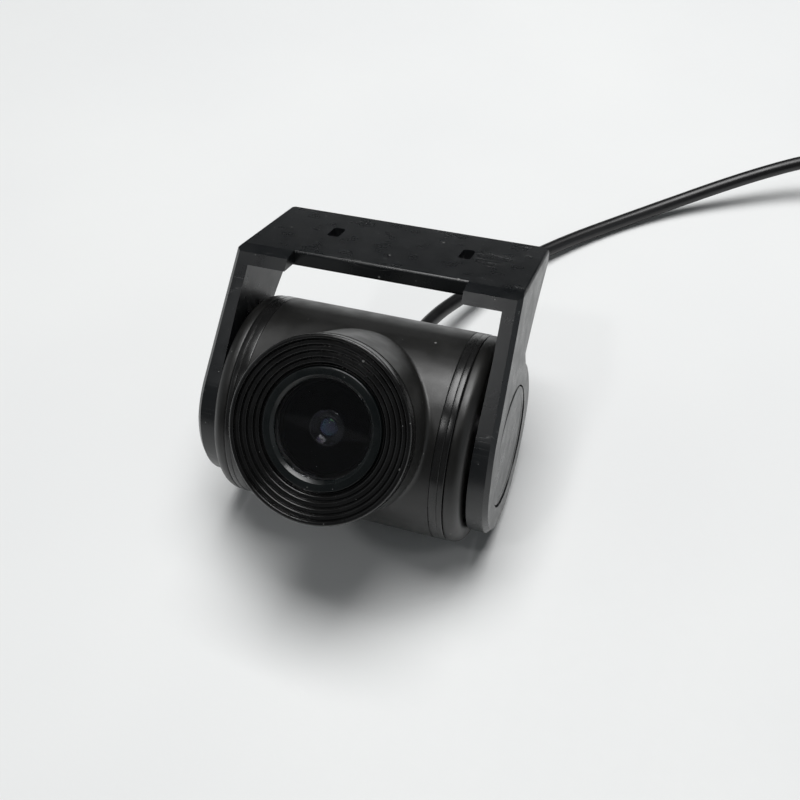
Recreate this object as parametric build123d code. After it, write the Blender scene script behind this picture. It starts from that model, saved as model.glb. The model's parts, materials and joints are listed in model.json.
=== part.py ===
from build123d import *
import math
import os

# A drum-type backup camera in a U bracket. Sizes are in millimetres.
# Row frame: the drum lies on Z = 0, X runs along the pivot axis, the lens looks towards -Y and up.
# The head is drawn with its lens axis along -Y and the bracket with its plate facing +Z, both with
# the pivot axis on X through the origin. Each is then turned and lifted to where it rests.

# How the object lies
LENS_TILT = 46.4
BRACKET_LEAN = 22.0

# Drum housing
DRUM_R = 20.6
DRUM_HALF = 19.0
DRUM_BORE_R = 17.8
SEAM_GAP = 0.05

# Lens nozzle on the housing, distances from the pivot axis
NOZZLE_BASE_R = 17.5
NOZZLE_TIP_R = 16.9
NOZZLE_END = 26.2
NOZZLE_BORE_R = 15.0
NOZZLE_BLEND = 1.0

# Front bezel: the lip and its steps as (radius, distance of the tread from the pivot axis)
RIM_R = 16.8
RIM_END = 29.2
RIM_CHAMFER = 0.25
STEPS = [(16.0, 28.7), (15.0, 28.3), (13.95, 27.9), (12.8, 27.5), (11.8, 26.9)]
BEZEL_BACK = 23.6
GLASS_SHELF = 24.6

# Cover glass, gasket and retaining ring
GLASS_R = 9.8
GLASS_T = 1.5
GLASS_FIT = 0.1
GASKET_T = 0.5
GASKET_BORE_R = 8.8
RETAINER_R = 11.1
RETAINER_WINDOW_R = 9.07
RETAINER_END = 27.6
RETAINER_SEAT = 25.6

# Lens, holder and sensor
LENS_R = 6.0
LENS_BACK = 12.0
LENS_SHOULDER = 22.9
LENS_NOSE_R = 3.25
LENS_NOSE_END = 24.0
FRONT_ELEMENT_R = 1.9
REAR_ELEMENT_R = 3.2
HOLDER_SIDE = 15.0
HOLDER_BASE_T = 2.0
HOLDER_TOWER_R = 7.4
HOLDER_TOWER_END = 17.0
SENSOR_W = 6.6
SENSOR_H = 5.6
SENSOR_T = 0.9
FILTER_SIDE = 8.0
FILTER_T = 0.3

# Circuit boards on their pillars
BOARD_T = 1.2
SENSOR_BOARD_SIDE = 22.0
SENSOR_BOARD_FACE = 9.1
MAIN_BOARD_W = 30.0
MAIN_BOARD_H = 26.0
MAIN_BOARD_FACE = -2.0
MAIN_BOARD_T = 1.6
BULKHEAD_BACK = 18.2
BULKHEAD_T = 2.0
BULKHEAD_BORE_R = 7.8
POST_PITCH = 18.4
POST_R = 2.2
BOARD_SCREW_R = 1.0
BOARD_SCREW_HEAD_R = 1.9
BOARD_SCREW_HEAD_T = 1.3
BOARD_SCREW_BITE = 4.0
SPACER_R = 2.0

# End caps, trim rings and seals
TRIM_RING_W = 2.6
CAP_DISC_R = 20.5
CAP_DISC_T = 2.95
CAP_SHOULDER_ROUND = 2.2
CAP_SEAM_ROUND = 0.3
CAP_SPIGOT_R = 17.7
CAP_SPIGOT_BORE_R = 12.5
CAP_SPIGOT_DEPTH = 4.0
CAP_HUB_R = 6.5
CAP_HUB_DEPTH = 5.0
SEAL_R = 0.7
SEAL_GROOVE_DEPTH = 1.8
CAP_SCREW_PCR = 14.6
CAP_SCREW_COUNT = 3
CAP_SCREW_R = 1.25
CAP_SCREW_HEAD_R = 2.3
CAP_SCREW_BITE = 3.0
CAP_SCREW_BOSS_R = 3.4
CAP_SCREW_BOSS_L = 3.4

# Pivot: shoulder screws in brass inserts, wave washers, cover discs
PIVOT_GAP = 0.7
WASHER_R = 7.8
WASHER_T = 1.0
PIVOT_SHOULDER_R = 2.5
PIVOT_RUN = 0.05
PIVOT_HEAD_R = 3.9
PIVOT_HEAD_T = 1.2
PIVOT_THREAD_R = 1.5
INSERT_R = 3.4
INSERT_L = 4.6
COVER_R = 11.9
COVER_T = 0.7
COVER_FIT = 0.3
COVER_RECESS = 0.9

# Bracket
PLATE_TOP = 31.4
PLATE_T = 2.6
PLATE_FRONT = 0.1
PLATE_BACK = 26.0
PLATE_INSET = 1.1
EDGE_DROP = 0.5
EDGE_CREASE = 2.9
WINDOW_HALF_W = 17.4
WINDOW_DEPTH = 3.0
RIB_SETBACK = 0.8
RIB_T = 1.6
RIB_DROP = 0.75
RIB_OVERRUN = 1.5
ARM_TOP_T = 3.2
ARM_DISC_T = 4.0
ARM_DISC_R = 17.4
ARM_TAPER_END = 2.0
ARM_CHAMFER = 0.9
NECK_BACK = 9.0
NECK_Z = 16.2
GUSSET_Y = 15.6
GUSSET_Z = 21.6
PLATE_CORNER_R = 0.6
SLOT_PITCH = 27.4
SLOT_CENTRE = 15.6
SLOT_W = 2.5
SLOT_L = 4.9
SLOT_CORNER = 0.8

# Cable gland at the back of the drum
GLAND_ANGLE = 30.0
GLAND_BOSS_R = 5.2
GLAND_BOSS_END = 21.4
GLAND_NECK_R = 3.0
GLAND_FLANGE_R = 4.4
GLAND_FLANGE_T = 1.2
GLAND_TAIL_L = 6.0
GLAND_TAIL_TIP_R = 2.5
GLAND_FIT = 0.05

# Cable, its coil and the plug on its end
CABLE_R = 1.7
CABLE_CORE_R = 1.2
LEAD_L = 10.0
CABLE_POINTS = [(6.5, 51.6, 5.6), (20.0, 74.1, 2.4), (42.0, 96.1, 1.7), (66.9, 110.3, 7.5),
                (86.0, 117.6, 11.0), (106.0, 116.3, 6.8)]
COIL_CENTRE = (128.0, 95.1)
COIL_MEAN_R = 18.5
COIL_W = 7.0
COIL_H = 6.8
COIL_ENTRY_Z = 3.0
TAIL_POINTS = [(149.0, 76.3, 3.2), (147.5, 59.3, 5.2)]
TIE_W = 4.0
TIE_T = 0.9
PLUG_R = 5.5
PLUG_Z = 5.7
PLUG_START = (146.0, 46.3)
PLUG_BOOT_L = 12.0
PLUG_BODY_L = 20.0
PLUG_NOSE_L = 9.0
PLUG_NOSE_R = 4.3
PLUG_SOCKET_R = 3.4
PLUG_SOCKET_DEPTH = 7.0
PIN_R = 0.5
PIN_RING_R = 1.8
PIN_COUNT = 4
PLUG_SEAL_R = 0.6

CAP_FACE = DRUM_HALF + SEAM_GAP + TRIM_RING_W + SEAM_GAP + CAP_DISC_T
ARM_INNER = CAP_FACE + PIVOT_GAP
ARM_OUTER = ARM_INNER + ARM_DISC_T
PLATE_HALF_W = ARM_OUTER - PLATE_INSET
COVER_FLOOR = ARM_OUTER - COVER_RECESS
HEAD_SEAT = COVER_FLOOR - 0.1 - PIVOT_HEAD_T
GLASS_FACE = GLASS_SHELF + GASKET_T + GLASS_T


def along_x(x, radius, length, bore=0.0):
    """Cylinder or tube about the X axis, from x towards +X."""
    shape = Pos(x + length / 2, 0, 0) * Rot(0, 90, 0) * Cylinder(radius, length)
    if bore:
        shape -= Pos(x + length / 2, 0, 0) * Rot(0, 90, 0) * Cylinder(bore, length + 1)
    return shape


def forward(start, radius, length, bore=0.0):
    """Cylinder or tube about the lens axis, from the given distance towards the front (-Y)."""
    place = Pos(0, -start - length / 2, 0) * Rot(90, 0, 0)
    shape = place * Cylinder(radius, length)
    if bore:
        shape -= place * Cylinder(bore, length + 1)
    return shape


def turned_forward(profile):
    """Solid of revolution about the lens axis from (radius, distance) points."""
    points = [(r, -s) for r, s in profile]
    face = make_face(Polyline(points, close=True))
    return revolve(face, Axis.Y)


def turned_along_x(profile):
    """Solid of revolution about the X axis from (x, radius) points."""
    face = make_face(Polyline(profile, close=True))
    return revolve(face, Axis.X)


def left_and_right(shape):
    """The piece and its mirror image as one compound."""
    return Compound([shape, mirror(shape, about=Plane.YZ)])


def on_circle_x(shape, count, radius):
    """Copies of a piece about the X axis, the first one at +Y."""
    return [Rot(i * 360 / count, 0, 0) * Pos(0, radius, 0) * shape for i in range(count)]


def at_posts(shape):
    """Copies of a piece at the four board pillars."""
    half = POST_PITCH / 2
    return [Pos(x, 0, z) * shape for x in (-half, half) for z in (-half, half)]


def gland_place():
    """Placement whose +Z runs out of the drum along the gland, from the pivot axis."""
    return Rot(GLAND_ANGLE, 0, 0) * Rot(-90, 0, 0)


def cap_screw_boss():
    start = DRUM_HALF - CAP_SPIGOT_DEPTH - CAP_SCREW_BOSS_L
    boss = along_x(start, CAP_SCREW_BOSS_R, CAP_SCREW_BOSS_L - 0.1)
    hole = along_x(start + CAP_SCREW_BOSS_L - CAP_SCREW_BITE - 0.3, CAP_SCREW_R, CAP_SCREW_BITE + 1)
    return boss, hole


def housing():
    drum = along_x(-DRUM_HALF, DRUM_R, 2 * DRUM_HALF)
    nozzle = turned_forward([(0, 0), (NOZZLE_BASE_R, 0), (NOZZLE_BASE_R, 12.0), (NOZZLE_TIP_R, NOZZLE_END),
                             (0, NOZZLE_END)])
    body = drum + nozzle
    seam = [e for e in body.edges() if e.geom_type not in (GeomType.LINE, GeomType.CIRCLE)]
    body = fillet(seam, NOZZLE_BLEND)
    gland = gland_place()
    body += gland * Pos(0, 0, GLAND_BOSS_END / 2) * Cylinder(GLAND_BOSS_R, GLAND_BOSS_END)
    body -= along_x(-DRUM_HALF - 1, DRUM_BORE_R, 2 * DRUM_HALF + 2)
    body -= forward(0, NOZZLE_BORE_R, NOZZLE_END + 1)
    body += forward(BULKHEAD_BACK, NOZZLE_BORE_R + 0.5, BULKHEAD_T, BULKHEAD_BORE_R)
    post_base = SENSOR_BOARD_FACE
    for post in at_posts(forward(post_base, POST_R, BULKHEAD_BACK - post_base + 0.5)):
        body += post
    for hole in at_posts(forward(post_base - 1, BOARD_SCREW_R, BOARD_SCREW_BITE + 1.5)):
        body -= hole
    boss, hole = cap_screw_boss()
    for piece in on_circle_x(boss, CAP_SCREW_COUNT, CAP_SCREW_PCR):
        body += [piece, mirror(piece, about=Plane.YZ)]
    for piece in on_circle_x(hole, CAP_SCREW_COUNT, CAP_SCREW_PCR):
        body -= [piece, mirror(piece, about=Plane.YZ)]
    flat_inside = DRUM_BORE_R - 1.0
    body -= gland * Pos(0, 0, flat_inside / 2) * Cylinder(GLAND_BOSS_R, flat_inside)
    body -= gland * Pos(0, 0, 20) * Cylinder(GLAND_NECK_R + GLAND_FIT, 40)
    return body


def trim_ring():
    x0 = DRUM_HALF + SEAM_GAP
    groove = 0.12
    mid = x0 + 1.5
    outer = DRUM_R
    inner = CAP_SPIGOT_R + SEAM_GAP
    return turned_along_x([(x0, inner), (x0, outer - 0.15), (x0 + 0.15, outer), (mid - groove, outer),
                           (mid, outer - groove), (mid + groove, outer), (x0 + TRIM_RING_W - 0.3, outer),
                           (x0 + TRIM_RING_W, outer - 0.3), (x0 + TRIM_RING_W, inner)])


def end_cap():
    disc_x = CAP_FACE - CAP_DISC_T
    disc = along_x(disc_x, CAP_DISC_R, CAP_DISC_T)
    disc = fillet(disc.edges().filter_by(GeomType.CIRCLE).sort_by(Axis.X)[-1], CAP_SHOULDER_ROUND)
    seam_edge = disc.edges().filter_by(GeomType.CIRCLE).sort_by(Axis.X)[0]
    disc = fillet(seam_edge, CAP_SEAM_ROUND)
    spigot_x = DRUM_HALF - CAP_SPIGOT_DEPTH
    cap = disc + along_x(spigot_x, CAP_SPIGOT_R, disc_x - spigot_x + 0.5, CAP_SPIGOT_BORE_R)
    cap += along_x(disc_x - CAP_HUB_DEPTH, CAP_HUB_R, CAP_HUB_DEPTH + 0.5)
    groove_x = spigot_x + 1.4
    groove_bottom = DRUM_BORE_R - 2 * SEAL_R
    cap -= along_x(groove_x, CAP_SPIGOT_R + 1, SEAL_GROOVE_DEPTH, groove_bottom)
    cap -= along_x(CAP_FACE - WASHER_T + PIVOT_GAP - PIVOT_RUN, WASHER_R + 0.2, 5)
    cap -= along_x(disc_x - CAP_HUB_DEPTH - 1, PIVOT_THREAD_R + 0.1, 20)
    cap -= along_x(disc_x - CAP_HUB_DEPTH, INSERT_R, INSERT_L)
    head_cone = turned_along_x([(CAP_FACE - CAP_SCREW_HEAD_R, 0), (CAP_FACE + 0.01, 0),
                                (CAP_FACE + 0.01, CAP_SCREW_HEAD_R + 0.05)])
    screw_hole = along_x(spigot_x - 1, CAP_SCREW_R + 0.1, 20) + head_cone
    for hole in on_circle_x(screw_hole, CAP_SCREW_COUNT, CAP_SCREW_PCR):
        cap -= hole
    return cap


def end_seal():
    centre = DRUM_HALF - CAP_SPIGOT_DEPTH + 1.4 + SEAL_GROOVE_DEPTH / 2
    return Pos(centre, 0, 0) * Rot(0, 90, 0) * Torus(DRUM_BORE_R - SEAL_R, SEAL_R)


def cap_screw():
    start = DRUM_HALF - CAP_SPIGOT_DEPTH - CAP_SCREW_BITE
    neck = CAP_FACE - CAP_SCREW_HEAD_R + CAP_SCREW_R
    profile = [(start, 0), (start, CAP_SCREW_R - 0.35), (start + 0.5, CAP_SCREW_R), (neck, CAP_SCREW_R),
               (CAP_FACE - 0.1, CAP_SCREW_HEAD_R - 0.1), (CAP_FACE - 0.1, 0)]
    screw = turned_along_x(profile)
    for turn in (0, 90):
        screw -= Pos(CAP_FACE, 0, 0) * Rot(turn, 0, 0) * Box(1.6, 2.4, 0.5)
    return screw


def pivot_insert():
    x0 = CAP_FACE - CAP_DISC_T - CAP_HUB_DEPTH
    return along_x(x0, INSERT_R, INSERT_L, PIVOT_THREAD_R + 0.05)


def pivot_screw():
    floor = CAP_FACE - WASHER_T + PIVOT_GAP - PIVOT_RUN
    end = CAP_FACE - CAP_DISC_T - CAP_HUB_DEPTH + 0.6
    screw = along_x(floor, PIVOT_SHOULDER_R, HEAD_SEAT - floor)
    screw += along_x(end, PIVOT_THREAD_R, floor - end + 0.1)
    head = along_x(HEAD_SEAT, PIVOT_HEAD_R, PIVOT_HEAD_T)
    head = fillet(head.edges().sort_by(Axis.X)[-1], 0.4)
    screw += head
    for turn in (0, 90):
        screw -= Pos(HEAD_SEAT + PIVOT_HEAD_T, 0, 0) * Rot(turn, 0, 0) * Box(1.4, 4.4, 0.9)
    return screw


def friction_washer():
    x0 = ARM_INNER - WASHER_T
    return along_x(x0, WASHER_R, WASHER_T, PIVOT_SHOULDER_R + PIVOT_RUN)


def cover_disc():
    x0 = COVER_FLOOR
    disc = along_x(x0, COVER_R, COVER_T)
    return fillet(disc.edges().sort_by(Axis.X)[-1], 0.3)


def front_bezel():
    profile = [(NOZZLE_BORE_R - 0.1, BEZEL_BACK), (NOZZLE_BORE_R - 0.1, NOZZLE_END + SEAM_GAP),
               (RIM_R, NOZZLE_END + SEAM_GAP), (RIM_R, RIM_END - RIM_CHAMFER),
               (RIM_R - RIM_CHAMFER, RIM_END), (STEPS[0][0], RIM_END)]
    for i, (radius, tread) in enumerate(STEPS):
        inner = STEPS[i + 1][0] if i + 1 < len(STEPS) else RETAINER_R + GLASS_FIT
        profile += [(radius, tread), (inner, tread)]
    profile += [(RETAINER_R + GLASS_FIT, RETAINER_SEAT), (GLASS_R + GLASS_FIT, RETAINER_SEAT),
                (GLASS_R + GLASS_FIT, GLASS_SHELF), (GASKET_BORE_R, GLASS_SHELF), (GASKET_BORE_R, BEZEL_BACK)]
    return turned_forward(profile)


def lens_retainer():
    seat = RETAINER_SEAT + 0.02
    face = GLASS_FACE + 0.02
    return turned_forward([(RETAINER_R, seat), (RETAINER_R, RETAINER_END - 0.4), (RETAINER_R - 0.4, RETAINER_END),
                           (RETAINER_WINDOW_R + 0.6, RETAINER_END), (RETAINER_WINDOW_R, RETAINER_END - 0.6),
                           (RETAINER_WINDOW_R, face), (GLASS_R + GLASS_FIT, face), (GLASS_R + GLASS_FIT, seat)])


def glass_gasket():
    return forward(GLASS_SHELF, GLASS_R, GASKET_T, GASKET_BORE_R)


def cover_glass():
    glass = forward(GLASS_SHELF + GASKET_T, GLASS_R, GLASS_T)
    return chamfer(glass.edges().sort_by(Axis.Y)[0], 0.25)


def lens_baffle():
    return turned_forward([(LENS_NOSE_R + 0.1, LENS_SHOULDER + 0.05), (GASKET_BORE_R - 0.6, LENS_SHOULDER + 0.05),
                           (GASKET_BORE_R - 0.6, 24.3), (GASKET_BORE_R - 1.0, 24.3),
                           (LENS_NOSE_R + 0.1, LENS_SHOULDER + 0.6)])


def lens_barrel():
    outer = [(REAR_ELEMENT_R + 0.05, LENS_BACK), (LENS_R, LENS_BACK), (LENS_R, LENS_SHOULDER),
             (LENS_NOSE_R, LENS_SHOULDER), (LENS_NOSE_R, LENS_NOSE_END - 0.15), (LENS_NOSE_R - 0.15, LENS_NOSE_END),
             (LENS_NOSE_R - 0.35, LENS_NOSE_END)]
    inner = [(FRONT_ELEMENT_R - 0.15, LENS_NOSE_END - 0.8), (FRONT_ELEMENT_R - 0.15, LENS_NOSE_END - 1.0),
             (FRONT_ELEMENT_R + 0.05, LENS_NOSE_END - 1.0), (FRONT_ELEMENT_R + 0.05, LENS_NOSE_END - 2.4),
             (1.2, LENS_NOSE_END - 2.4), (1.2, LENS_BACK + 2.0), (REAR_ELEMENT_R + 0.05, LENS_BACK + 2.0)]
    return turned_forward(outer + inner)


def front_element():
    seat = LENS_NOSE_END - 2.35
    edge = LENS_NOSE_END - 1.35
    rise = 0.75
    ball_r = (FRONT_ELEMENT_R ** 2 + rise ** 2) / (2 * rise)
    ball = Pos(0, -(edge + rise - ball_r), 0) * Sphere(ball_r)
    return forward(seat, FRONT_ELEMENT_R, edge + rise - seat) & ball


def rear_element():
    return forward(LENS_BACK + 0.2, REAR_ELEMENT_R, 1.7)


def lens_holder():
    base_at = SENSOR_BOARD_FACE
    base = Pos(0, -base_at - HOLDER_BASE_T / 2, 0) * Box(HOLDER_SIDE, HOLDER_BASE_T, HOLDER_SIDE)
    base -= Pos(0, -base_at - 0.7, 0) * Box(10.0, 1.4, 10.0)
    tower_at = base_at + HOLDER_BASE_T
    tower = forward(tower_at, HOLDER_TOWER_R, HOLDER_TOWER_END - tower_at)
    holder = base + tower
    holder -= forward(LENS_BACK - 0.1, LENS_R + 0.03, 10)
    holder -= forward(base_at + 0.5, REAR_ELEMENT_R, 5)
    return holder


def infrared_filter():
    return Pos(0, -SENSOR_BOARD_FACE - 1.4 + FILTER_T / 2, 0) * Box(FILTER_SIDE, FILTER_T, FILTER_SIDE)


def image_sensor():
    return Pos(0, -SENSOR_BOARD_FACE - SENSOR_T / 2, 0) * Box(SENSOR_W, SENSOR_T, SENSOR_H)


def sensor_board():
    side = SENSOR_BOARD_SIDE
    board = Pos(0, -SENSOR_BOARD_FACE + BOARD_T / 2, 0) * Box(side, BOARD_T, side)
    for hole in at_posts(forward(SENSOR_BOARD_FACE - 5, BOARD_SCREW_R + 0.1, 10)):
        board -= hole
    return board


def main_board():
    board = Pos(0, -MAIN_BOARD_FACE + MAIN_BOARD_T / 2, 0) * Box(MAIN_BOARD_W, MAIN_BOARD_T, MAIN_BOARD_H)
    for hole in at_posts(forward(MAIN_BOARD_FACE - 5, BOARD_SCREW_R + 0.1, 10)):
        board -= hole
    return board


def board_chips():
    front = -MAIN_BOARD_FACE
    chips = [(0.0, 3.5, 7.0, 1.0, 7.0), (-5.0, -5.0, 4.0, 1.1, 4.0), (6.5, -6.0, 3.0, 1.6, 3.0),
             (4.0, 9.5, 5.0, 1.4, 2.5)]
    return Compound([Pos(x, front - t / 2, z) * Box(w, t, h) for x, z, w, t, h in chips])


def board_spacers():
    back = SENSOR_BOARD_FACE - BOARD_T
    tube = forward(MAIN_BOARD_FACE, SPACER_R, back - MAIN_BOARD_FACE, BOARD_SCREW_R + 0.1)
    return Compound(at_posts(tube))


def board_screws():
    back = MAIN_BOARD_FACE - MAIN_BOARD_T
    shank = forward(back, BOARD_SCREW_R, SENSOR_BOARD_FACE + BOARD_SCREW_BITE - back)
    head = forward(back - BOARD_SCREW_HEAD_T, BOARD_SCREW_HEAD_R, BOARD_SCREW_HEAD_T)
    screw = shank + head
    screw -= Pos(0, -back + BOARD_SCREW_HEAD_T, 0) * Box(2.4, 1.2, 0.5)
    return Compound(at_posts(screw))


def board_socket():
    back = -MAIN_BOARD_FACE + MAIN_BOARD_T
    socket = Pos(0, back + 2.2, 0) * Box(9.0, 4.4, 5.0)
    return socket - Pos(0, back + 2.9, 0) * Box(7.6, 3.2, 3.6)


def core_plug():
    back = -MAIN_BOARD_FACE + MAIN_BOARD_T
    return Pos(0, back + 3.9, 0) * Box(7.4, 5.0, 3.4)


def cable_core():
    """Cable core inside the drum, from the gland to the plug on the main board."""
    plug_back = -MAIN_BOARD_FACE + MAIN_BOARD_T + 6.4
    gland_in = gland_place() * Pos(0, 0, DRUM_BORE_R - 1.0 - GLAND_FLANGE_T)
    point = gland_in.position
    path = Polyline((0, plug_back, 0), (0, point.Y, point.Z))
    return sweep(Plane(origin=path @ 0, z_dir=path % 0) * Circle(CABLE_CORE_R), path)


def cable_gland():
    inner = DRUM_BORE_R - 1.0
    outer = GLAND_BOSS_END
    profile = [(CABLE_R, inner - GLAND_FLANGE_T), (GLAND_FLANGE_R, inner - GLAND_FLANGE_T), (GLAND_FLANGE_R, inner),
               (GLAND_NECK_R, inner), (GLAND_NECK_R, outer), (GLAND_FLANGE_R, outer),
               (GLAND_FLANGE_R, outer + GLAND_FLANGE_T)]
    rings = 4
    pitch = GLAND_TAIL_L / rings
    root = GLAND_FLANGE_R - 0.9
    for i in range(rings):
        z = outer + GLAND_FLANGE_T + i * pitch
        radius = root + (GLAND_TAIL_TIP_R - root) * i / (rings - 1)
        profile += [(radius - 0.4, z), (radius - 0.4, z + 0.4 * pitch), (radius, z + 0.4 * pitch), (radius, z + pitch)]
    profile.append((CABLE_R, outer + GLAND_FLANGE_T + GLAND_TAIL_L))
    face = make_face(Plane.XZ * Polyline([(r, z) for r, z in profile], close=True))
    return gland_place() * revolve(face, Axis.Z)


def arm_side_profile():
    """Outline of both arms and the plate seen along X, in the bracket's own frame."""
    front = Vector(PLATE_FRONT, PLATE_TOP)
    reach = math.hypot(front.X, front.Y)
    angle = math.atan2(front.Y, front.X) + math.acos(ARM_DISC_R / reach)
    tangent = (ARM_DISC_R * math.cos(angle), ARM_DISC_R * math.sin(angle))
    neck_angle = math.acos((NECK_BACK + 0.9) / ARM_DISC_R)
    waist = (ARM_DISC_R * math.cos(neck_angle), ARM_DISC_R * math.sin(neck_angle))
    under_back = PLATE_TOP - PLATE_T - 0.8
    edges = [Line((front.X, front.Y), tangent),
             ThreePointArc(tangent, (0, -ARM_DISC_R), waist),
             Line(waist, (NECK_BACK, NECK_Z)),
             ThreePointArc((NECK_BACK, NECK_Z), (GUSSET_Y, GUSSET_Z), (PLATE_BACK, under_back)),
             Line((PLATE_BACK, under_back), (PLATE_BACK, PLATE_TOP)),
             Line((PLATE_BACK, PLATE_TOP), (front.X, front.Y))]
    return make_face(Curve() + edges)


def bracket_front_profile():
    """U outline of the bracket seen along the plate, as (x, z) points."""
    under = PLATE_TOP - PLATE_T
    inner_top = PLATE_HALF_W - ARM_TOP_T
    low = -ARM_DISC_R - 1
    right = [(PLATE_HALF_W, PLATE_TOP), (ARM_OUTER, ARM_TAPER_END), (ARM_OUTER, low), (ARM_INNER, low),
             (ARM_INNER, DRUM_R + 1.0), (inner_top, under)]
    left = [(-x, z) for x, z in reversed(right)]
    return Polyline(right + left, close=True)


def arm_rim(frame, sign):
    """Edges round one arm's outer face, without its top edge and the line where its taper ends."""
    rim = []
    for edge in frame.edges():
        points = [edge @ 0, edge @ 0.5, edge @ 1]
        heights = [p.Z for p in points]
        outer = all(abs(sign * p.X - arm_outer_x(p.Z)) < 0.02 for p in points)
        level = max(heights) - min(heights) < 0.01
        if outer and not (level and (heights[0] > PLATE_TOP - 0.01 or abs(heights[0] - ARM_TAPER_END) < 0.01)):
            rim.append(edge)
    return rim


def arm_outer_x(z):
    """Half width over the arms at a height, in the bracket's own frame."""
    share = min(1.0, (PLATE_TOP - z) / (PLATE_TOP - ARM_TAPER_END))
    return PLATE_HALF_W + (ARM_OUTER - PLATE_HALF_W) * share


def bracket():
    side = extrude(Plane.YZ.offset(-ARM_OUTER - 1) * arm_side_profile(), 2 * ARM_OUTER + 2, dir=(1, 0, 0))
    front = make_face(Plane.XZ.offset(ARM_DISC_R + 5) * bracket_front_profile())
    ushape = extrude(front, ARM_DISC_R + PLATE_BACK + 10, dir=(0, 1, 0))
    frame = side & ushape
    for sign in (-1, 1):
        frame = chamfer(arm_rim(frame, sign), ARM_CHAMFER)
    corners = [e for e in frame.edges().filter_by(GeomType.LINE)
               if abs(e.center().Z - PLATE_TOP) < 0.01 and abs(abs(e.center().X) - PLATE_HALF_W) < 0.1]
    frame = fillet(corners, PLATE_CORNER_R)
    wedge = Polyline((EDGE_CREASE, PLATE_TOP), (PLATE_FRONT - 2, PLATE_TOP + 2),
                     (PLATE_FRONT - 2, PLATE_TOP - EDGE_DROP * (EDGE_CREASE - PLATE_FRONT + 2)
                      / (EDGE_CREASE - PLATE_FRONT)), close=True)
    frame -= extrude(Plane.YZ.offset(-ARM_OUTER) * make_face(wedge), 2 * ARM_OUTER, dir=(1, 0, 0))
    edge = PLATE_FRONT + WINDOW_DEPTH
    under = PLATE_TOP - PLATE_T
    frame -= Pos(0, edge - 10, PLATE_TOP - 5) * Box(2 * WINDOW_HALF_W, 20, 20)
    lip = [e for e in frame.edges().filter_by(Axis.X)
           if abs(e.center().Y - edge) < 0.01 and abs(e.center().Z - PLATE_TOP) < 0.01]
    frame = fillet(lip, 0.6)
    rib_y = edge + RIB_SETBACK + RIB_T / 2
    rib_w = 2 * (WINDOW_HALF_W + RIB_OVERRUN)
    rib = Pos(0, rib_y, under - RIB_DROP / 2 + 0.2) * Box(rib_w, RIB_T, RIB_DROP + 0.4)
    frame += rib
    slot = extrude(RectangleRounded(SLOT_W, SLOT_L, SLOT_CORNER), PLATE_T + 4)
    for x in (-SLOT_PITCH / 2, SLOT_PITCH / 2):
        frame -= Pos(x, SLOT_CENTRE, under - 2) * slot
    pivot = along_x(ARM_INNER - 1, PIVOT_SHOULDER_R + PIVOT_RUN, ARM_DISC_T + 2)
    pivot += along_x(HEAD_SEAT - PIVOT_RUN, PIVOT_HEAD_R + 0.3, 5)
    pivot += along_x(COVER_FLOOR, COVER_R + COVER_FIT, 5)
    frame -= pivot
    frame -= mirror(pivot, about=Plane.YZ)
    return frame


def cord_route(points):
    """Straight runs joined by arcs as large as the runs allow, with the radii used."""
    vectors = [Vector(*p) for p in points]
    radii = []
    for before, corner, after in zip(vectors, vectors[1:], vectors[2:]):
        run_in = corner - before
        run_out = after - corner
        turn = math.radians(run_in.get_angle(run_out))
        radii.append(0.45 * min(run_in.length, run_out.length) / math.tan(turn / 2))
    return FilletPolyline(*points, radius=radii), radii


def cord_tube(name, points):
    """Round tube along a cord route, with its radii and its volume against section times length."""
    path, radii = cord_route(points)
    tube = sweep(Plane(origin=path @ 0, z_dir=path % 0) * Circle(CABLE_R), path)
    print(name, "radii", [round(r, 1) for r in radii], "length", round(path.length, 2),
          "volume ratio", round(tube.volume / (math.pi * CABLE_R ** 2 * path.length), 4))
    return tube


def coil_solid():
    x, y = COIL_CENTRE
    ring = Cylinder(COIL_MEAN_R + COIL_W / 2, COIL_H) - Cylinder(COIL_MEAN_R - COIL_W / 2, COIL_H + 1)
    ring = fillet(ring.edges().filter_by(GeomType.CIRCLE), 1.6)
    return Pos(x, y, COIL_H / 2) * ring


def coil_tie():
    x, y = COIL_CENTRE
    gap = 0.2
    band = Box(COIL_W + 2 * TIE_T + 2 * gap, TIE_W, COIL_H + TIE_T + gap)
    band -= Pos(0, 0, -TIE_T / 2 - gap) * Box(COIL_W + 2 * gap, TIE_W + 1, COIL_H + 2 * gap)
    head = Pos(COIL_W / 2 + TIE_T + 1.0, 0, 0) * Box(2.0, TIE_W + 1.2, 3.0)
    return Pos(x - COIL_MEAN_R, y, (COIL_H + TIE_T + gap) / 2) * Rot(0, 0, 180) * (band + head)


def plug_place(direction):
    """Placement at the cable's end whose +Z runs along the plug towards its mating face."""
    return Plane(origin=(PLUG_START[0], PLUG_START[1], PLUG_Z), z_dir=direction).location


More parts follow.
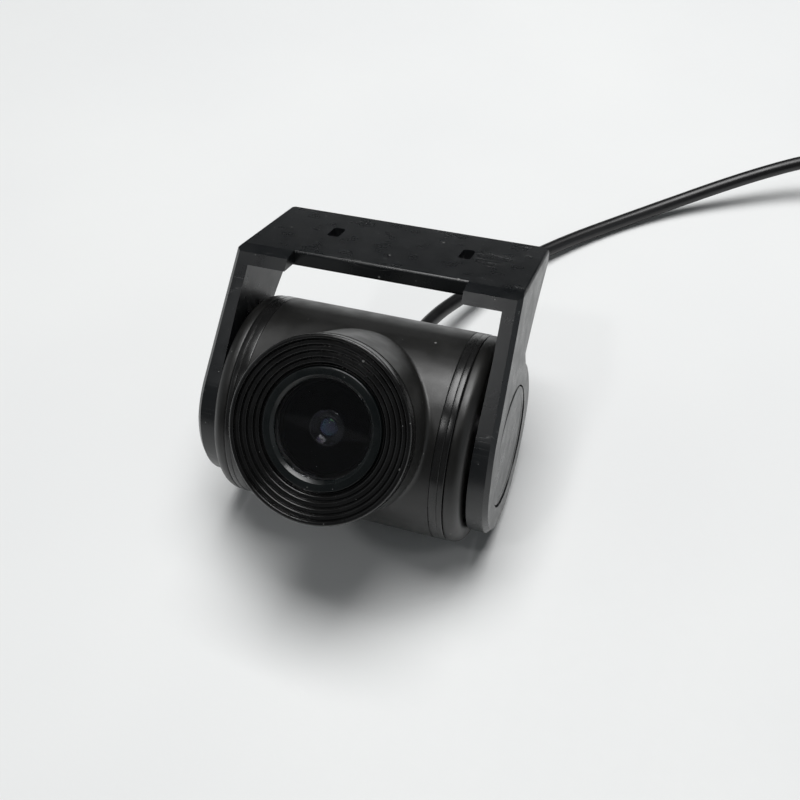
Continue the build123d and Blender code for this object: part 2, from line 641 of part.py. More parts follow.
def plug_shell(place):
    boot = PLUG_BOOT_L
    body = boot + PLUG_BODY_L
    nose = body + PLUG_NOSE_L
    profile = [(CABLE_R, 0), (CABLE_R + 0.8, 0), (PLUG_R - 0.8, boot), (PLUG_R, boot)]
    ribs = 6
    pitch = (PLUG_BODY_L - 8) / ribs
    for i in range(ribs):
        z = boot + 4 + i * pitch
        profile += [(PLUG_R, z), (PLUG_R - 0.5, z + 0.3), (PLUG_R - 0.5, z + 0.45 * pitch), (PLUG_R, z + 0.45 * pitch + 0.3)]
    profile += [(PLUG_R, body - 0.6), (PLUG_R - 0.6, body), (PLUG_NOSE_R, body), (PLUG_NOSE_R, body + 2.0),
                (PLUG_NOSE_R - 0.5, body + 2.0), (PLUG_NOSE_R - 0.5, body + 2.0 + 2 * PLUG_SEAL_R),
                (PLUG_NOSE_R, body + 2.0 + 2 * PLUG_SEAL_R), (PLUG_NOSE_R, nose - 0.4), (PLUG_NOSE_R - 0.4, nose),
                (PLUG_SOCKET_R, nose), (PLUG_SOCKET_R, nose - PLUG_SOCKET_DEPTH), (2.8, nose - PLUG_SOCKET_DEPTH),
                (2.8, boot + 4), (CABLE_R, boot + 4)]
    face = make_face(Plane.XZ * Polyline(profile, close=True))
    return place * revolve(face, Axis.Z)


def plug_insulator(place):
    top = PLUG_BOOT_L + PLUG_BODY_L + PLUG_NOSE_L - PLUG_SOCKET_DEPTH
    block = Pos(0, 0, top - 3) * Cylinder(2.8, 6)
    for pin in plug_pin_row(top - 7, 8, PIN_R):
        block -= pin
    return place * block


def plug_pin_row(start, length, radius):
    pins = []
    for i in range(PIN_COUNT):
        angle = math.radians(45 + i * 360 / PIN_COUNT)
        x = PIN_RING_R * math.cos(angle)
        y = PIN_RING_R * math.sin(angle)
        pins.append(Pos(x, y, start + length / 2) * Cylinder(radius, length))
    return pins


def plug_pins(place):
    top = PLUG_BOOT_L + PLUG_BODY_L + PLUG_NOSE_L - PLUG_SOCKET_DEPTH
    pins = plug_pin_row(top - 6, 6 + PLUG_SOCKET_DEPTH - 1.5, PIN_R)
    return Compound([place * pin for pin in pins])


def plug_seal(place):
    z = PLUG_BOOT_L + PLUG_BODY_L + 2.0 + PLUG_SEAL_R
    return place * Pos(0, 0, z) * Torus(PLUG_NOSE_R - 0.5 + PLUG_SEAL_R, PLUG_SEAL_R)


def head_parts():
    """Pieces of the camera head in its own frame."""
    screws = on_circle_x(cap_screw(), CAP_SCREW_COUNT, CAP_SCREW_PCR)
    left_screws = [mirror(s, about=Plane.YZ) for s in screws]
    return {
        "housing": housing(),
        "trim_ring_right": trim_ring(),
        "trim_ring_left": mirror(trim_ring(), about=Plane.YZ),
        "end_cap_right": end_cap(),
        "end_cap_left": mirror(end_cap(), about=Plane.YZ),
        "end_seals": left_and_right(end_seal()),
        "cap_screws": Compound(screws + left_screws),
        "pivot_inserts": left_and_right(pivot_insert()),
        "pivot_screws": left_and_right(pivot_screw()),
        "front_bezel": front_bezel(),
        "lens_retainer": lens_retainer(),
        "glass_gasket": glass_gasket(),
        "cover_glass": cover_glass(),
        "lens_baffle": lens_baffle(),
        "lens_barrel": lens_barrel(),
        "front_element": front_element(),
        "rear_element": rear_element(),
        "lens_holder": lens_holder(),
        "infrared_filter": infrared_filter(),
        "image_sensor": image_sensor(),
        "sensor_board": sensor_board(),
        "main_board": main_board(),
        "board_chips": board_chips(),
        "board_spacers": board_spacers(),
        "board_screws": board_screws(),
        "board_socket": board_socket(),
        "core_plug": core_plug(),
        "cable_core": cable_core(),
        "cable_gland": cable_gland(),
    }


def bracket_parts():
    """Pieces that turn with the bracket, in its own frame."""
    return {
        "bracket": bracket(),
        "friction_washers": left_and_right(friction_washer()),
        "cover_discs": left_and_right(cover_disc()),
    }


def cord_parts(gland_tip, gland_dir):
    """The free cable, its coil and its plug, where they lie on the surface."""
    lead = gland_tip + gland_dir * LEAD_L
    coil_x, coil_y = COIL_CENTRE
    entry = (coil_x - 2.0, coil_y + COIL_MEAN_R, COIL_ENTRY_Z)
    leave = (coil_x + COIL_MEAN_R, coil_y - 2.0, COIL_ENTRY_Z)
    plug_start = Vector(PLUG_START[0], PLUG_START[1], PLUG_Z)
    along = plug_start - Vector(*TAIL_POINTS[-1])
    place = plug_place(Vector(along.X, along.Y, 0))
    route = [tuple(gland_tip), tuple(lead)] + CABLE_POINTS + [entry]
    tail = [leave] + TAIL_POINTS + [tuple(plug_start)]
    return {
        "cable": cord_tube("cable", route),
        "cable_coil": coil_solid(),
        "coil_tie": coil_tie(),
        "cable_tail": cord_tube("cable_tail", tail),
        "plug_shell": plug_shell(place),
        "plug_insulator": plug_insulator(place),
        "plug_pins": plug_pins(place),
        "plug_seal": plug_seal(place),
    }


def main():
    os.makedirs("parts", exist_ok=True)
    head_turn = Rot(-LENS_TILT, 0, 0)
    bracket_turn = Rot(-BRACKET_LEAN, 0, 0)
    parts = {name: head_turn * piece for name, piece in head_parts().items()}
    parts.update({name: bracket_turn * piece for name, piece in bracket_parts().items()})
    boxes = [piece.bounding_box() for piece in parts.values()]
    middle = (min(box.min.Y for box in boxes) + max(box.max.Y for box in boxes)) / 2
    shift = Pos(0, -middle, DRUM_R)
    parts = {name: shift * piece for name, piece in parts.items()}
    gland = shift * head_turn * gland_place()
    tip = gland * Pos(0, 0, GLAND_BOSS_END + GLAND_FLANGE_T + GLAND_TAIL_L)
    direction = (tip.position - gland.position).normalized()
    parts.update(cord_parts(tip.position, direction))
    print("pivot at", shift.position)
    for name, piece in parts.items():
        export_step(piece, f"parts/{name}.step")


main()
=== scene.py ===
"""Backup camera: the looks of a drum camera in a U bracket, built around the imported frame.

Every sub-assembly is a class with its sizes in millimetres, every finish is a frozen dataclass.
Meshes are written straight in the row frame, in metres, so each object sits at the origin.
"""

import json
import logging
import math
from dataclasses import dataclass, field
from enum import Enum
from typing import Callable, Iterable, Optional

import bmesh
import bpy
from mathutils import Matrix, Vector

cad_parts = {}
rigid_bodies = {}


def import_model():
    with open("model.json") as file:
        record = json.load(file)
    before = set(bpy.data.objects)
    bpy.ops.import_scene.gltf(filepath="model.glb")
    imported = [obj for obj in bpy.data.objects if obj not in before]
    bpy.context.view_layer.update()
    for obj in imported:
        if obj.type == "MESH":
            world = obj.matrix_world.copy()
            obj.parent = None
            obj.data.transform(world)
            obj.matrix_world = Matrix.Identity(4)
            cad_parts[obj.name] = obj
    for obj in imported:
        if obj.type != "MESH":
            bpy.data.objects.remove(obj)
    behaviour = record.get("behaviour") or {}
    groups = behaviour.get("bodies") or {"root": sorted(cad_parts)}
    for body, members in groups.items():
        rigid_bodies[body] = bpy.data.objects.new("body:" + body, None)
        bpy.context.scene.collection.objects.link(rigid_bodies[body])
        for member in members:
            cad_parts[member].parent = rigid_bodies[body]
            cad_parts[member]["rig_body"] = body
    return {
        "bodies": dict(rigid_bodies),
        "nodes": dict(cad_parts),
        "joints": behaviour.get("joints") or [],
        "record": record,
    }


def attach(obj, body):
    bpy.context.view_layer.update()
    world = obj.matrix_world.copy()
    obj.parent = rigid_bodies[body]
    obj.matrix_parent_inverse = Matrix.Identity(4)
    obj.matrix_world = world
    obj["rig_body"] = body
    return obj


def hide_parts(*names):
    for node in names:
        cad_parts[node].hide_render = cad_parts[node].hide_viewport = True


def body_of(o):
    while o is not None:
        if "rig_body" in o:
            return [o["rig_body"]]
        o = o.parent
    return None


MM = 0.001
Point = tuple[float, float]
Corner = tuple[float, float, float]
Colour = tuple[float, float, float]

log = logging.getLogger("backup_camera")


class Body(Enum):
    """The two bodies that turn against each other."""

    HEAD = "camera_head"
    BRACKET = "mount_bracket"


class Axis(Enum):
    """The line that a turned piece is symmetrical about."""

    PIVOT = "pivot"
    LENS = "lens"
    GLAND = "gland"
    PLUG = "plug"


class Grain(Enum):
    """How coarse the surface of a moulding is, as cells per metre and height in metres."""

    POLISHED = (900.0, 0.000002)
    SATIN = (2600.0, 0.000009)
    MATTE = (2100.0, 0.000005)
    RUBBER = (1500.0, 0.000012)


# Finishes


class Graph:
    """A material under construction, with its Principled shader at the end."""

    def __init__(self, name: str) -> None:
        """Start a material of that name with a shader and object coordinates."""
        self.material = bpy.data.materials.new(name)
        self.material.use_nodes = True
        self.tree = self.material.node_tree
        self.tree.nodes.clear()
        self.shader = self.node("ShaderNodeBsdfPrincipled")
        output = self.node("ShaderNodeOutputMaterial")
        self.tree.links.new(self.shader.outputs["BSDF"], output.inputs["Surface"])
        self.place = self.node("ShaderNodeTexCoord").outputs["Object"]

    def node(self, kind: str, **settings: object) -> bpy.types.Node:
        """Add a node and set its properties.

        Args:
            kind: the node's type name.
            **settings: properties of the node.

        Returns:
            The new node.
        """
        made = self.tree.nodes.new(kind)
        for key, value in settings.items():
            setattr(made, key, value)
        return made

    def join(self, source: bpy.types.NodeSocket, target: bpy.types.NodeSocket) -> None:
        """Link two sockets."""
        self.tree.links.new(source, target)

    def mapped(self, stretch: Corner, turn: Corner = (0.0, 0.0, 0.0)) -> bpy.types.NodeSocket:
        """Object coordinates turned and stretched.

        Args:
            stretch: scale along the three axes.
            turn: Euler turn in degrees.

        Returns:
            The vector socket.
        """
        mapping = self.node("ShaderNodeMapping")
        mapping.inputs["Scale"].default_value = stretch
        mapping.inputs["Rotation"].default_value = [math.radians(a) for a in turn]
        self.join(self.place, mapping.inputs["Vector"])
        return mapping.outputs["Vector"]

    def noise(self, scale: float, detail: float = 3.0,
              vector: Optional[bpy.types.NodeSocket] = None) -> bpy.types.NodeSocket:
        """Fractal noise over the surface.

        Args:
            scale: cells per metre.
            detail: octaves of finer noise.
            vector: coordinates, the object's own by default.

        Returns:
            The noise value socket.
        """
        made = self.node("ShaderNodeTexNoise")
        made.inputs["Scale"].default_value = scale
        made.inputs["Detail"].default_value = detail
        self.join(vector or self.place, made.inputs["Vector"])
        return made.outputs["Fac"]

    def ranged(self, value: bpy.types.NodeSocket, source: Point, target: Point) -> bpy.types.NodeSocket:
        """Map one range of a value smoothly onto another.

        Args:
            value: the value socket.
            source: the range read.
            target: the range given.

        Returns:
            The mapped socket.
        """
        made = self.node("ShaderNodeMapRange", interpolation_type="SMOOTHSTEP")
        for key, number in zip(("From Min", "From Max", "To Min", "To Max"), (*source, *target)):
            made.inputs[key].default_value = number
        self.join(value, made.inputs["Value"])
        return made.outputs["Result"]

    def calculated(self, kind: str, first: bpy.types.NodeSocket, second: object) -> bpy.types.NodeSocket:
        """One arithmetic step.

        Args:
            kind: the operation.
            first: the first value.
            second: a socket or a number.

        Returns:
            The result socket.
        """
        made = self.node("ShaderNodeMath", operation=kind)
        self.join(first, made.inputs[0])
        if isinstance(second, (int, float)):
            made.inputs[1].default_value = second
        else:
            self.join(second, made.inputs[1])
        return made.outputs[0]

    def tinted(self, factor: bpy.types.NodeSocket, low: object, high: object) -> bpy.types.NodeSocket:
        """Blend two colours by a factor.

        Args:
            factor: 0 gives low, 1 gives high.
            low: a colour or a colour socket.
            high: a colour or a colour socket.

        Returns:
            The colour socket.
        """
        made = self.node("ShaderNodeMix", data_type="RGBA")
        self.join(factor, made.inputs["Factor"])
        for socket, value in ((made.inputs[6], low), (made.inputs[7], high)):
            if isinstance(value, bpy.types.NodeSocket):
                self.join(value, socket)
            else:
                socket.default_value = (*value, 1.0)
        return made.outputs[2]

    def specks(self, scale: float, size: float, share: float) -> bpy.types.NodeSocket:
        """Scattered round specks, as dust makes.

        Args:
            scale: cells per metre, one possible speck in each.
            size: radius of a speck as a share of its cell.
            share: share of the cells that hold one.

        Returns:
            A mask socket, 1 on a speck.
        """
        cells = self.node("ShaderNodeTexVoronoi")
        cells.inputs["Scale"].default_value = scale
        self.join(self.place, cells.inputs["Vector"])
        spot = self.ranged(cells.outputs["Distance"], (size * 0.4, size), (1.0, 0.0))
        parts = self.node("ShaderNodeSeparateColor")
        self.join(cells.outputs["Color"], parts.inputs["Color"])
        chosen = self.calculated("LESS_THAN", parts.outputs["Red"], share)
        return self.calculated("MULTIPLY", spot, chosen)

    def raised(self, height: bpy.types.NodeSocket, distance: float,
               under: Optional[bpy.types.NodeSocket] = None) -> bpy.types.NodeSocket:
        """A bump of that height in metres, on top of another normal.

        Args:
            height: the height socket, 0 to 1.
            distance: height of the bump in metres.
            under: a normal to build on.

        Returns:
            The normal socket.
        """
        bump = self.node("ShaderNodeBump")
        bump.inputs["Distance"].default_value = distance
        bump.inputs["Strength"].default_value = 1.0
        self.join(height, bump.inputs["Height"])
        if under is not None:
            self.join(under, bump.inputs["Normal"])
        return bump.outputs["Normal"]

    def put(self, key: str, value: object) -> None:
        """Set or link one input of the shader."""
        socket = self.shader.inputs[key]
        if isinstance(value, bpy.types.NodeSocket):
            self.join(value, socket)
        else:
            socket.default_value = (*value, 1.0) if isinstance(value, tuple) and len(value) == 3 else value


@dataclass(frozen=True)
class Moulding:
    """Injection-moulded plastic: grain, mottled gloss, scuffs and dust."""

    name: str
    colour: Colour
    roughness: float
    grain: Grain = Grain.SATIN
    mottling: float = 0.35
    dust: float = 0.0
    scuffs: float = 0.0
    specular: float = 0.5
    coat: float = 0.0

    def material(self) -> bpy.types.Material:
        """Build the plastic's material.

        Returns:
            The finished material.
        """
        graph = Graph(self.name)
        cells, height = self.grain.value
        cloudy = graph.noise(60.0, 4.0)
        colour = graph.tinted(graph.ranged(cloudy, (0.3, 0.7), (0.0, 1.0)), self.colour,
                              tuple(c * (1 + self.mottling) for c in self.colour))
        rough = graph.ranged(graph.noise(240.0, 4.0), (0.25, 0.75),
                             (self.roughness - 0.05, self.roughness + 0.06))
        if self.dust:
            dusty = graph.specks(520.0, 0.16, 0.10 * self.dust)
            fine = graph.specks(1500.0, 0.2, 0.05 * self.dust)
            mask = graph.calculated("MAXIMUM", dusty, fine)
            veil = graph.calculated("MULTIPLY", mask, 0.55)
            colour = graph.tinted(veil, colour, (0.34, 0.34, 0.33))
            rough = graph.calculated("ADD", rough, graph.calculated("MULTIPLY", mask, 0.3))
        normal = graph.raised(graph.noise(cells, 2.0), height)
        if self.scuffs:
            lines = graph.noise(26.0, 2.0, graph.mapped((1.0, 34.0, 1.0), (0.0, 0.0, 62.0)))
            line = graph.ranged(graph.calculated("ABSOLUTE", graph.calculated("SUBTRACT", lines, 0.5), 0.0),
                                (0.0, 0.006), (1.0, 0.0))
            patch = graph.ranged(graph.noise(110.0, 2.0), (0.52, 0.66), (0.0, 1.0))
            scuff = graph.calculated("MULTIPLY", line, patch)
            colour = graph.tinted(graph.calculated("MULTIPLY", scuff, 0.3 * self.scuffs), colour,
                                  (0.22, 0.22, 0.22))
            normal = graph.raised(scuff, -0.00001 * self.scuffs, normal)
        graph.put("Base Color", colour)
        graph.put("Roughness", rough)
        graph.put("Normal", normal)
        graph.put("Specular IOR Level", self.specular)
        graph.put("Coat Weight", self.coat)
        graph.put("Coat Roughness", 0.12)
        return graph.material


@dataclass(frozen=True)
class Metal:
    """Plated, turned or rolled metal with fine tool marks along one axis."""

    name: str
    colour: Colour
    roughness: float
    lay: Corner = (1.0, 1.0, 1.0)

    def material(self) -> bpy.types.Material:
        """Build the metal's material.

        Returns:
            The finished material.
        """
        graph = Graph(self.name)
        marks = graph.noise(900.0, 3.0, graph.mapped(self.lay))
        graph.put("Base Color", graph.tinted(graph.noise(300.0), self.colour,
                                             tuple(0.82 * c for c in self.colour)))
        graph.put("Metallic", 1.0)
        graph.put("Roughness", graph.ranged(marks, (0.3, 0.7), (self.roughness - 0.06, self.roughness + 0.1)))
        graph.put("Normal", graph.raised(marks, 0.000003))
        return graph.material


@dataclass(frozen=True)
class Optic:
    """Clear or coated optical glass."""

    name: str
    tint: Colour
    transmission: float = 1.0
    index: float = 1.5
    roughness: float = 0.005
    film: float = 0.0

    def material(self) -> bpy.types.Material:
        """Build the glass.

        Returns:
            The finished material.
        """
        graph = Graph(self.name)
        graph.put("Base Color", graph.tinted(graph.ranged(graph.noise(200.0), (0.4, 0.6), (0.0, 1.0)),
                                             self.tint, tuple(0.97 * c for c in self.tint)))
        graph.put("Transmission Weight", self.transmission)
        graph.put("IOR", self.index)
        smears = graph.ranged(graph.noise(130.0, 4.0), (0.45, 0.8), (self.roughness, self.roughness + 0.02))
        graph.put("Roughness", smears)
        graph.put("Thin Film Thickness", self.film)
        return graph.material


@dataclass(frozen=True)
class Board:
    """Circuit board under solder mask, with faint tracks."""

    name: str = "solder_mask"
    colour: Colour = (0.012, 0.09, 0.035)

    def material(self) -> bpy.types.Material:
        """Build the board's material.

        Returns:
            The finished material.
        """
        graph = Graph(self.name)
        tracks = graph.node("ShaderNodeTexBrick", offset=0.5)
        tracks.inputs["Scale"].default_value = 420.0
        tracks.inputs["Mortar Size"].default_value = 0.03
        graph.join(graph.mapped((1.0, 1.0, 1.0), (90.0, 0.0, 0.0)), tracks.inputs["Vector"])
        graph.put("Base Color", graph.tinted(tracks.outputs["Fac"], self.colour, (0.03, 0.2, 0.08)))
        graph.put("Roughness", graph.ranged(graph.noise(500.0), (0.3, 0.7), (0.22, 0.34)))
        graph.put("Normal", graph.raised(tracks.outputs["Fac"], 0.00002))
        return graph.material


class Palette:
    """All finishes of the camera, made once."""

    def __init__(self) -> None:
        """Make every material."""
        finishes = (
            Moulding("bracket_matte_black", (0.0062, 0.007, 0.0078), 0.3, Grain.MATTE, dust=0.8, scuffs=1.0,
                     specular=0.55),
            Moulding("drum_satin_black", (0.0072, 0.0072, 0.0068), 0.38, Grain.SATIN, dust=0.35),
            Moulding("trim_gloss_black", (0.008, 0.008, 0.008), 0.24, Grain.POLISHED, dust=0.2),
            Moulding("bezel_satin_black", (0.0035, 0.0035, 0.0035), 0.25, Grain.SATIN, dust=0.3,
                     specular=0.6),
            Moulding("retainer_satin", (0.003, 0.0044, 0.0046), 0.27, Grain.SATIN, dust=0.3),
            Moulding("baffle_dead_black", (0.0006, 0.0006, 0.001), 0.7, Grain.SATIN, specular=0.0),
            Moulding("lens_black", (0.003, 0.003, 0.0045), 0.2, Grain.POLISHED, specular=0.8),
            Moulding("cable_jacket", (0.0055, 0.0055, 0.006), 0.36, Grain.RUBBER, dust=0.25),
            Moulding("soft_seal", (0.015, 0.015, 0.015), 0.6, Grain.RUBBER),
            Moulding("plug_shell_black", (0.017, 0.017, 0.018), 0.4, Grain.MATTE, dust=0.4),
            Moulding("insulator", (0.03, 0.03, 0.03), 0.45),
            Moulding("chip_epoxy", (0.02, 0.02, 0.021), 0.5, Grain.MATTE),
            Moulding("socket_nylon", (0.72, 0.69, 0.6), 0.42),
            Moulding("core_sheath", (0.16, 0.16, 0.16), 0.5, Grain.RUBBER),
            Moulding("sensor_die", (0.05, 0.06, 0.09), 0.15, Grain.POLISHED, coat=0.5),
            Moulding("tie_nylon", (0.013, 0.013, 0.013), 0.38),
            Metal("screw_plated", (0.62, 0.61, 0.59), 0.28),
            Metal("spring_steel", (0.56, 0.56, 0.57), 0.32, (1.0, 6.0, 6.0)),
            Metal("turned_brass", (0.78, 0.58, 0.27), 0.25, (12.0, 1.0, 1.0)),
            Metal("pin_gold", (0.9, 0.68, 0.3), 0.18),
            Optic("window_glass", (0.93, 0.95, 0.98), 1.0, 1.5, 0.0),
            Optic("coated_element", (0.16, 0.15, 0.3), 0.6, 1.7, 0.0, 420.0),
            Optic("filter_glass", (0.6, 0.85, 0.88), 0.9, 1.5, 0.0, 300.0),
            Board(),
        )
        self.materials = {finish.name: finish.material() for finish in finishes}

    def __getitem__(self, name: str) -> bpy.types.Material:
        """The material of that name."""
        return self.materials[name]


# Geometry


def rounded_outline(corners: Iterable[Corner], steps: int = 4) -> list[Point]:
    """Round the corners of a closed outline.

    Args:
        corners: (u, v, radius) of each corner.
        steps: straight pieces in each rounding.

    Returns:
        The outline's points.
    """
    corners = list(corners)
    points: list[Point] = []
    for i, (u, v, radius) in enumerate(corners):
        here = Vector((u, v))
        before = Vector(corners[i - 1][:2]) - here
        after = Vector(corners[(i + 1) % len(corners)][:2]) - here
        if radius <= 0:
            points.append((u, v))
            continue
        angle = before.angle(after)
        reach = min(radius / math.tan(angle / 2), 0.48 * before.length, 0.48 * after.length)
        start, end = here + before.normalized() * reach, here + after.normalized() * reach
        for k in range(steps + 1):
            t = k / steps
            bend = start * (1 - t) ** 2 + here * (2 * t * (1 - t)) + end * t ** 2
            points.append((bend.x, bend.y))
    return points


def link(name: str, mesh: bpy.types.Mesh) -> bpy.types.Object:
    """Put a mesh in the scene under a name."""
    made = bpy.data.objects.new(name, mesh)
    bpy.context.scene.collection.objects.link(made)
    return made


def wire(tree: bpy.types.NodeTree, *pairs: tuple[bpy.types.Node, object, bpy.types.Node, object]) -> None:
    """Link the sockets of nodes.

    Args:
        tree: the tree that holds the nodes.
        pairs: (source, its output, target, its input) for each link, in the order in which they are made.
    """
    for source, output, target, entry in pairs:
        tree.links.new(source.outputs[output], target.inputs[entry])


def mark_sharp(shape: bmesh.types.BMesh, angle: float = 40.0) -> None:
    """Shade smooth apart from edges that turn by more than an angle in degrees."""
    limit = math.radians(angle)
    for face in shape.faces:
        face.smooth = True
    for edge in shape.edges:
        edge.smooth = not (len(edge.link_faces) == 2 and edge.calc_face_angle(0.0) > limit)


def mesh_from(shape: bmesh.types.BMesh, name: str, place: Matrix, scale: float = MM) -> bpy.types.Mesh:
    """Finish a shape drawn in millimetres in its own frame.

    Args:
        shape: the shape, freed afterwards.
        name: the mesh's name.
        place: turns the shape's frame into the row frame, in metres.
        scale: metres per unit of the shape.

    Returns:
        A mesh in the row frame, with outward normals.
    """
    bmesh.ops.transform(shape, matrix=place @ Matrix.Scale(scale, 4), verts=shape.verts)
    bmesh.ops.recalc_face_normals(shape, faces=shape.faces)
    mark_sharp(shape)
    mesh = bpy.data.meshes.new(name)
    shape.to_mesh(mesh)
    shape.free()
    return mesh


def lathe(outline: list[Point], segments: int, point: Callable[[float, float, float], Vector]
          ) -> bmesh.types.BMesh:
    """Turn an outline about an axis.

    Args:
        outline: (radius, height) points of a closed outline that may touch the axis.
        segments: facets round the axis.
        point: place of a (radius, height, angle).

    Returns:
        A closed shape.
    """
    shape = bmesh.new()
    rings: list[list[bmesh.types.BMVert]] = []
    for radius, height in outline:
        if radius < 1e-6:
            rings.append([shape.verts.new(point(0.0, height, 0.0))] * segments)
        else:
            rings.append([shape.verts.new(point(radius, height, 2 * math.pi * k / segments))
                          for k in range(segments)])
    for i, ring in enumerate(rings):
        nearest = rings[i - 1]
        for k in range(segments):
            after = (k + 1) % segments
            corners = [nearest[k], nearest[after], ring[after], ring[k]]
            unique = list(dict.fromkeys(corners))
            if len(unique) > 2:
                shape.faces.new(unique)
    return shape


def turned_point(axis: Axis, radius: float, along: float, angle: float) -> Vector:
    """Point of a turned piece.

    Args:
        axis: what the piece is turned about.
        radius: distance from that axis.
        along: distance along it.
        angle: angle round it in radians.

    Returns:
        The point, in the piece's own frame.
    """
    across, up = radius * math.cos(angle), radius * math.sin(angle)
    if axis is Axis.PIVOT:
        return Vector((along, across, up))
    return Vector((across, -along if axis is Axis.LENS else along, up))


class Frames:
    """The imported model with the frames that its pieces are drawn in."""

    lens_tilt = 46.4
    bracket_lean = 22.0
    gland_angle = 30.0
    plug_start = Vector((146.0, 46.3, 5.7))
    plug_from = Vector((147.5, 59.3, 5.7))

    def __init__(self, loaded: dict) -> None:
        """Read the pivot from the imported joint.
        """
        self.nodes: dict[str, bpy.types.Object] = loaded["nodes"]
        pivot = Vector(loaded["joints"][0]["pos_m"])
        self.head = Matrix.Translation(pivot) @ Matrix.Rotation(-math.radians(self.lens_tilt), 4, "X")
        self.bracket = Matrix.Translation(pivot) @ Matrix.Rotation(-math.radians(self.bracket_lean), 4, "X")
        self.gland = self.head @ Matrix.Rotation(math.radians(self.gland_angle), 4, "X")
        along = (self.plug_start - self.plug_from).normalized()
        turn = along.to_track_quat("Y", "Z").to_matrix().to_4x4()
        self.plug = Matrix.Translation(self.plug_start * MM) @ turn

    def turned(self, name: str, axis: Axis, corners: Iterable[Corner], segments: int = 128,
               place: Optional[Matrix] = None, steps: int = 4) -> bpy.types.Mesh:
        """A turned piece.

        Args:
            name: the mesh's name.
            axis: what it is turned about.
            corners: (radius, distance along the axis, rounding) in millimetres.
            segments: facets round the axis.
            place: frame of the piece, the axis's own by default.
            steps: straight pieces in each rounding.

        Returns:
            The mesh, in the row frame.
        """
        outline = rounded_outline(corners, steps)
        shape = lathe(outline, segments, lambda r, d, a: turned_point(axis, r, d, a))
        homes = {Axis.PIVOT: self.head, Axis.LENS: self.head, Axis.GLAND: self.gland, Axis.PLUG: self.plug}
        return mesh_from(shape, name, place or homes[axis])

    def cleaned(self, node: str) -> bmesh.types.BMesh:
        """A CAD node's shape with its flat faces joined, in metres.

        Args:
            node: the CAD node.

        Returns:
            The shape.
        """
        shape = bmesh.new()
        shape.from_mesh(self.nodes[node].data)
        bmesh.ops.remove_doubles(shape, verts=shape.verts, dist=0.000002)
        bmesh.ops.dissolve_limit(shape, angle_limit=math.radians(0.6), use_dissolve_boundaries=False,
                                 verts=shape.verts, edges=shape.edges, delimit=set())
        return shape

    def softened(self, node: str, name: str, width: float, angle: float = 28.0,
                 segments: int = 3) -> bpy.types.Object:
        """A copy of a CAD node with its sharp edges rounded.

        Args:
            node: the CAD node.
            name: the new piece's name.
            width: width of the rounding in millimetres.
            angle: edges that turn by more than this, in degrees, are rounded.
            segments: facets across a rounding.

        Returns:
            The new object.
        """
        shape = self.cleaned(node)
        for face in shape.faces:
            face.smooth = True
        mesh = bpy.data.meshes.new(name)
        shape.to_mesh(mesh)
        shape.free()
        for stale in [a for a in mesh.attributes if a.name == "custom_normal"]:
            mesh.attributes.remove(stale)
        made = link(name, mesh)
        bevel = made.modifiers.new("edge rounding", "BEVEL")
        bevel.width = width * MM
        bevel.segments = segments
        bevel.limit_method = "ANGLE"
        bevel.angle_limit = math.radians(angle)
        bevel.use_clamp_overlap = True
        bevel.miter_outer = "MITER_ARC"
        even = made.modifiers.new("even shading", "WEIGHTED_NORMAL")
        even.keep_sharp = True
        return made


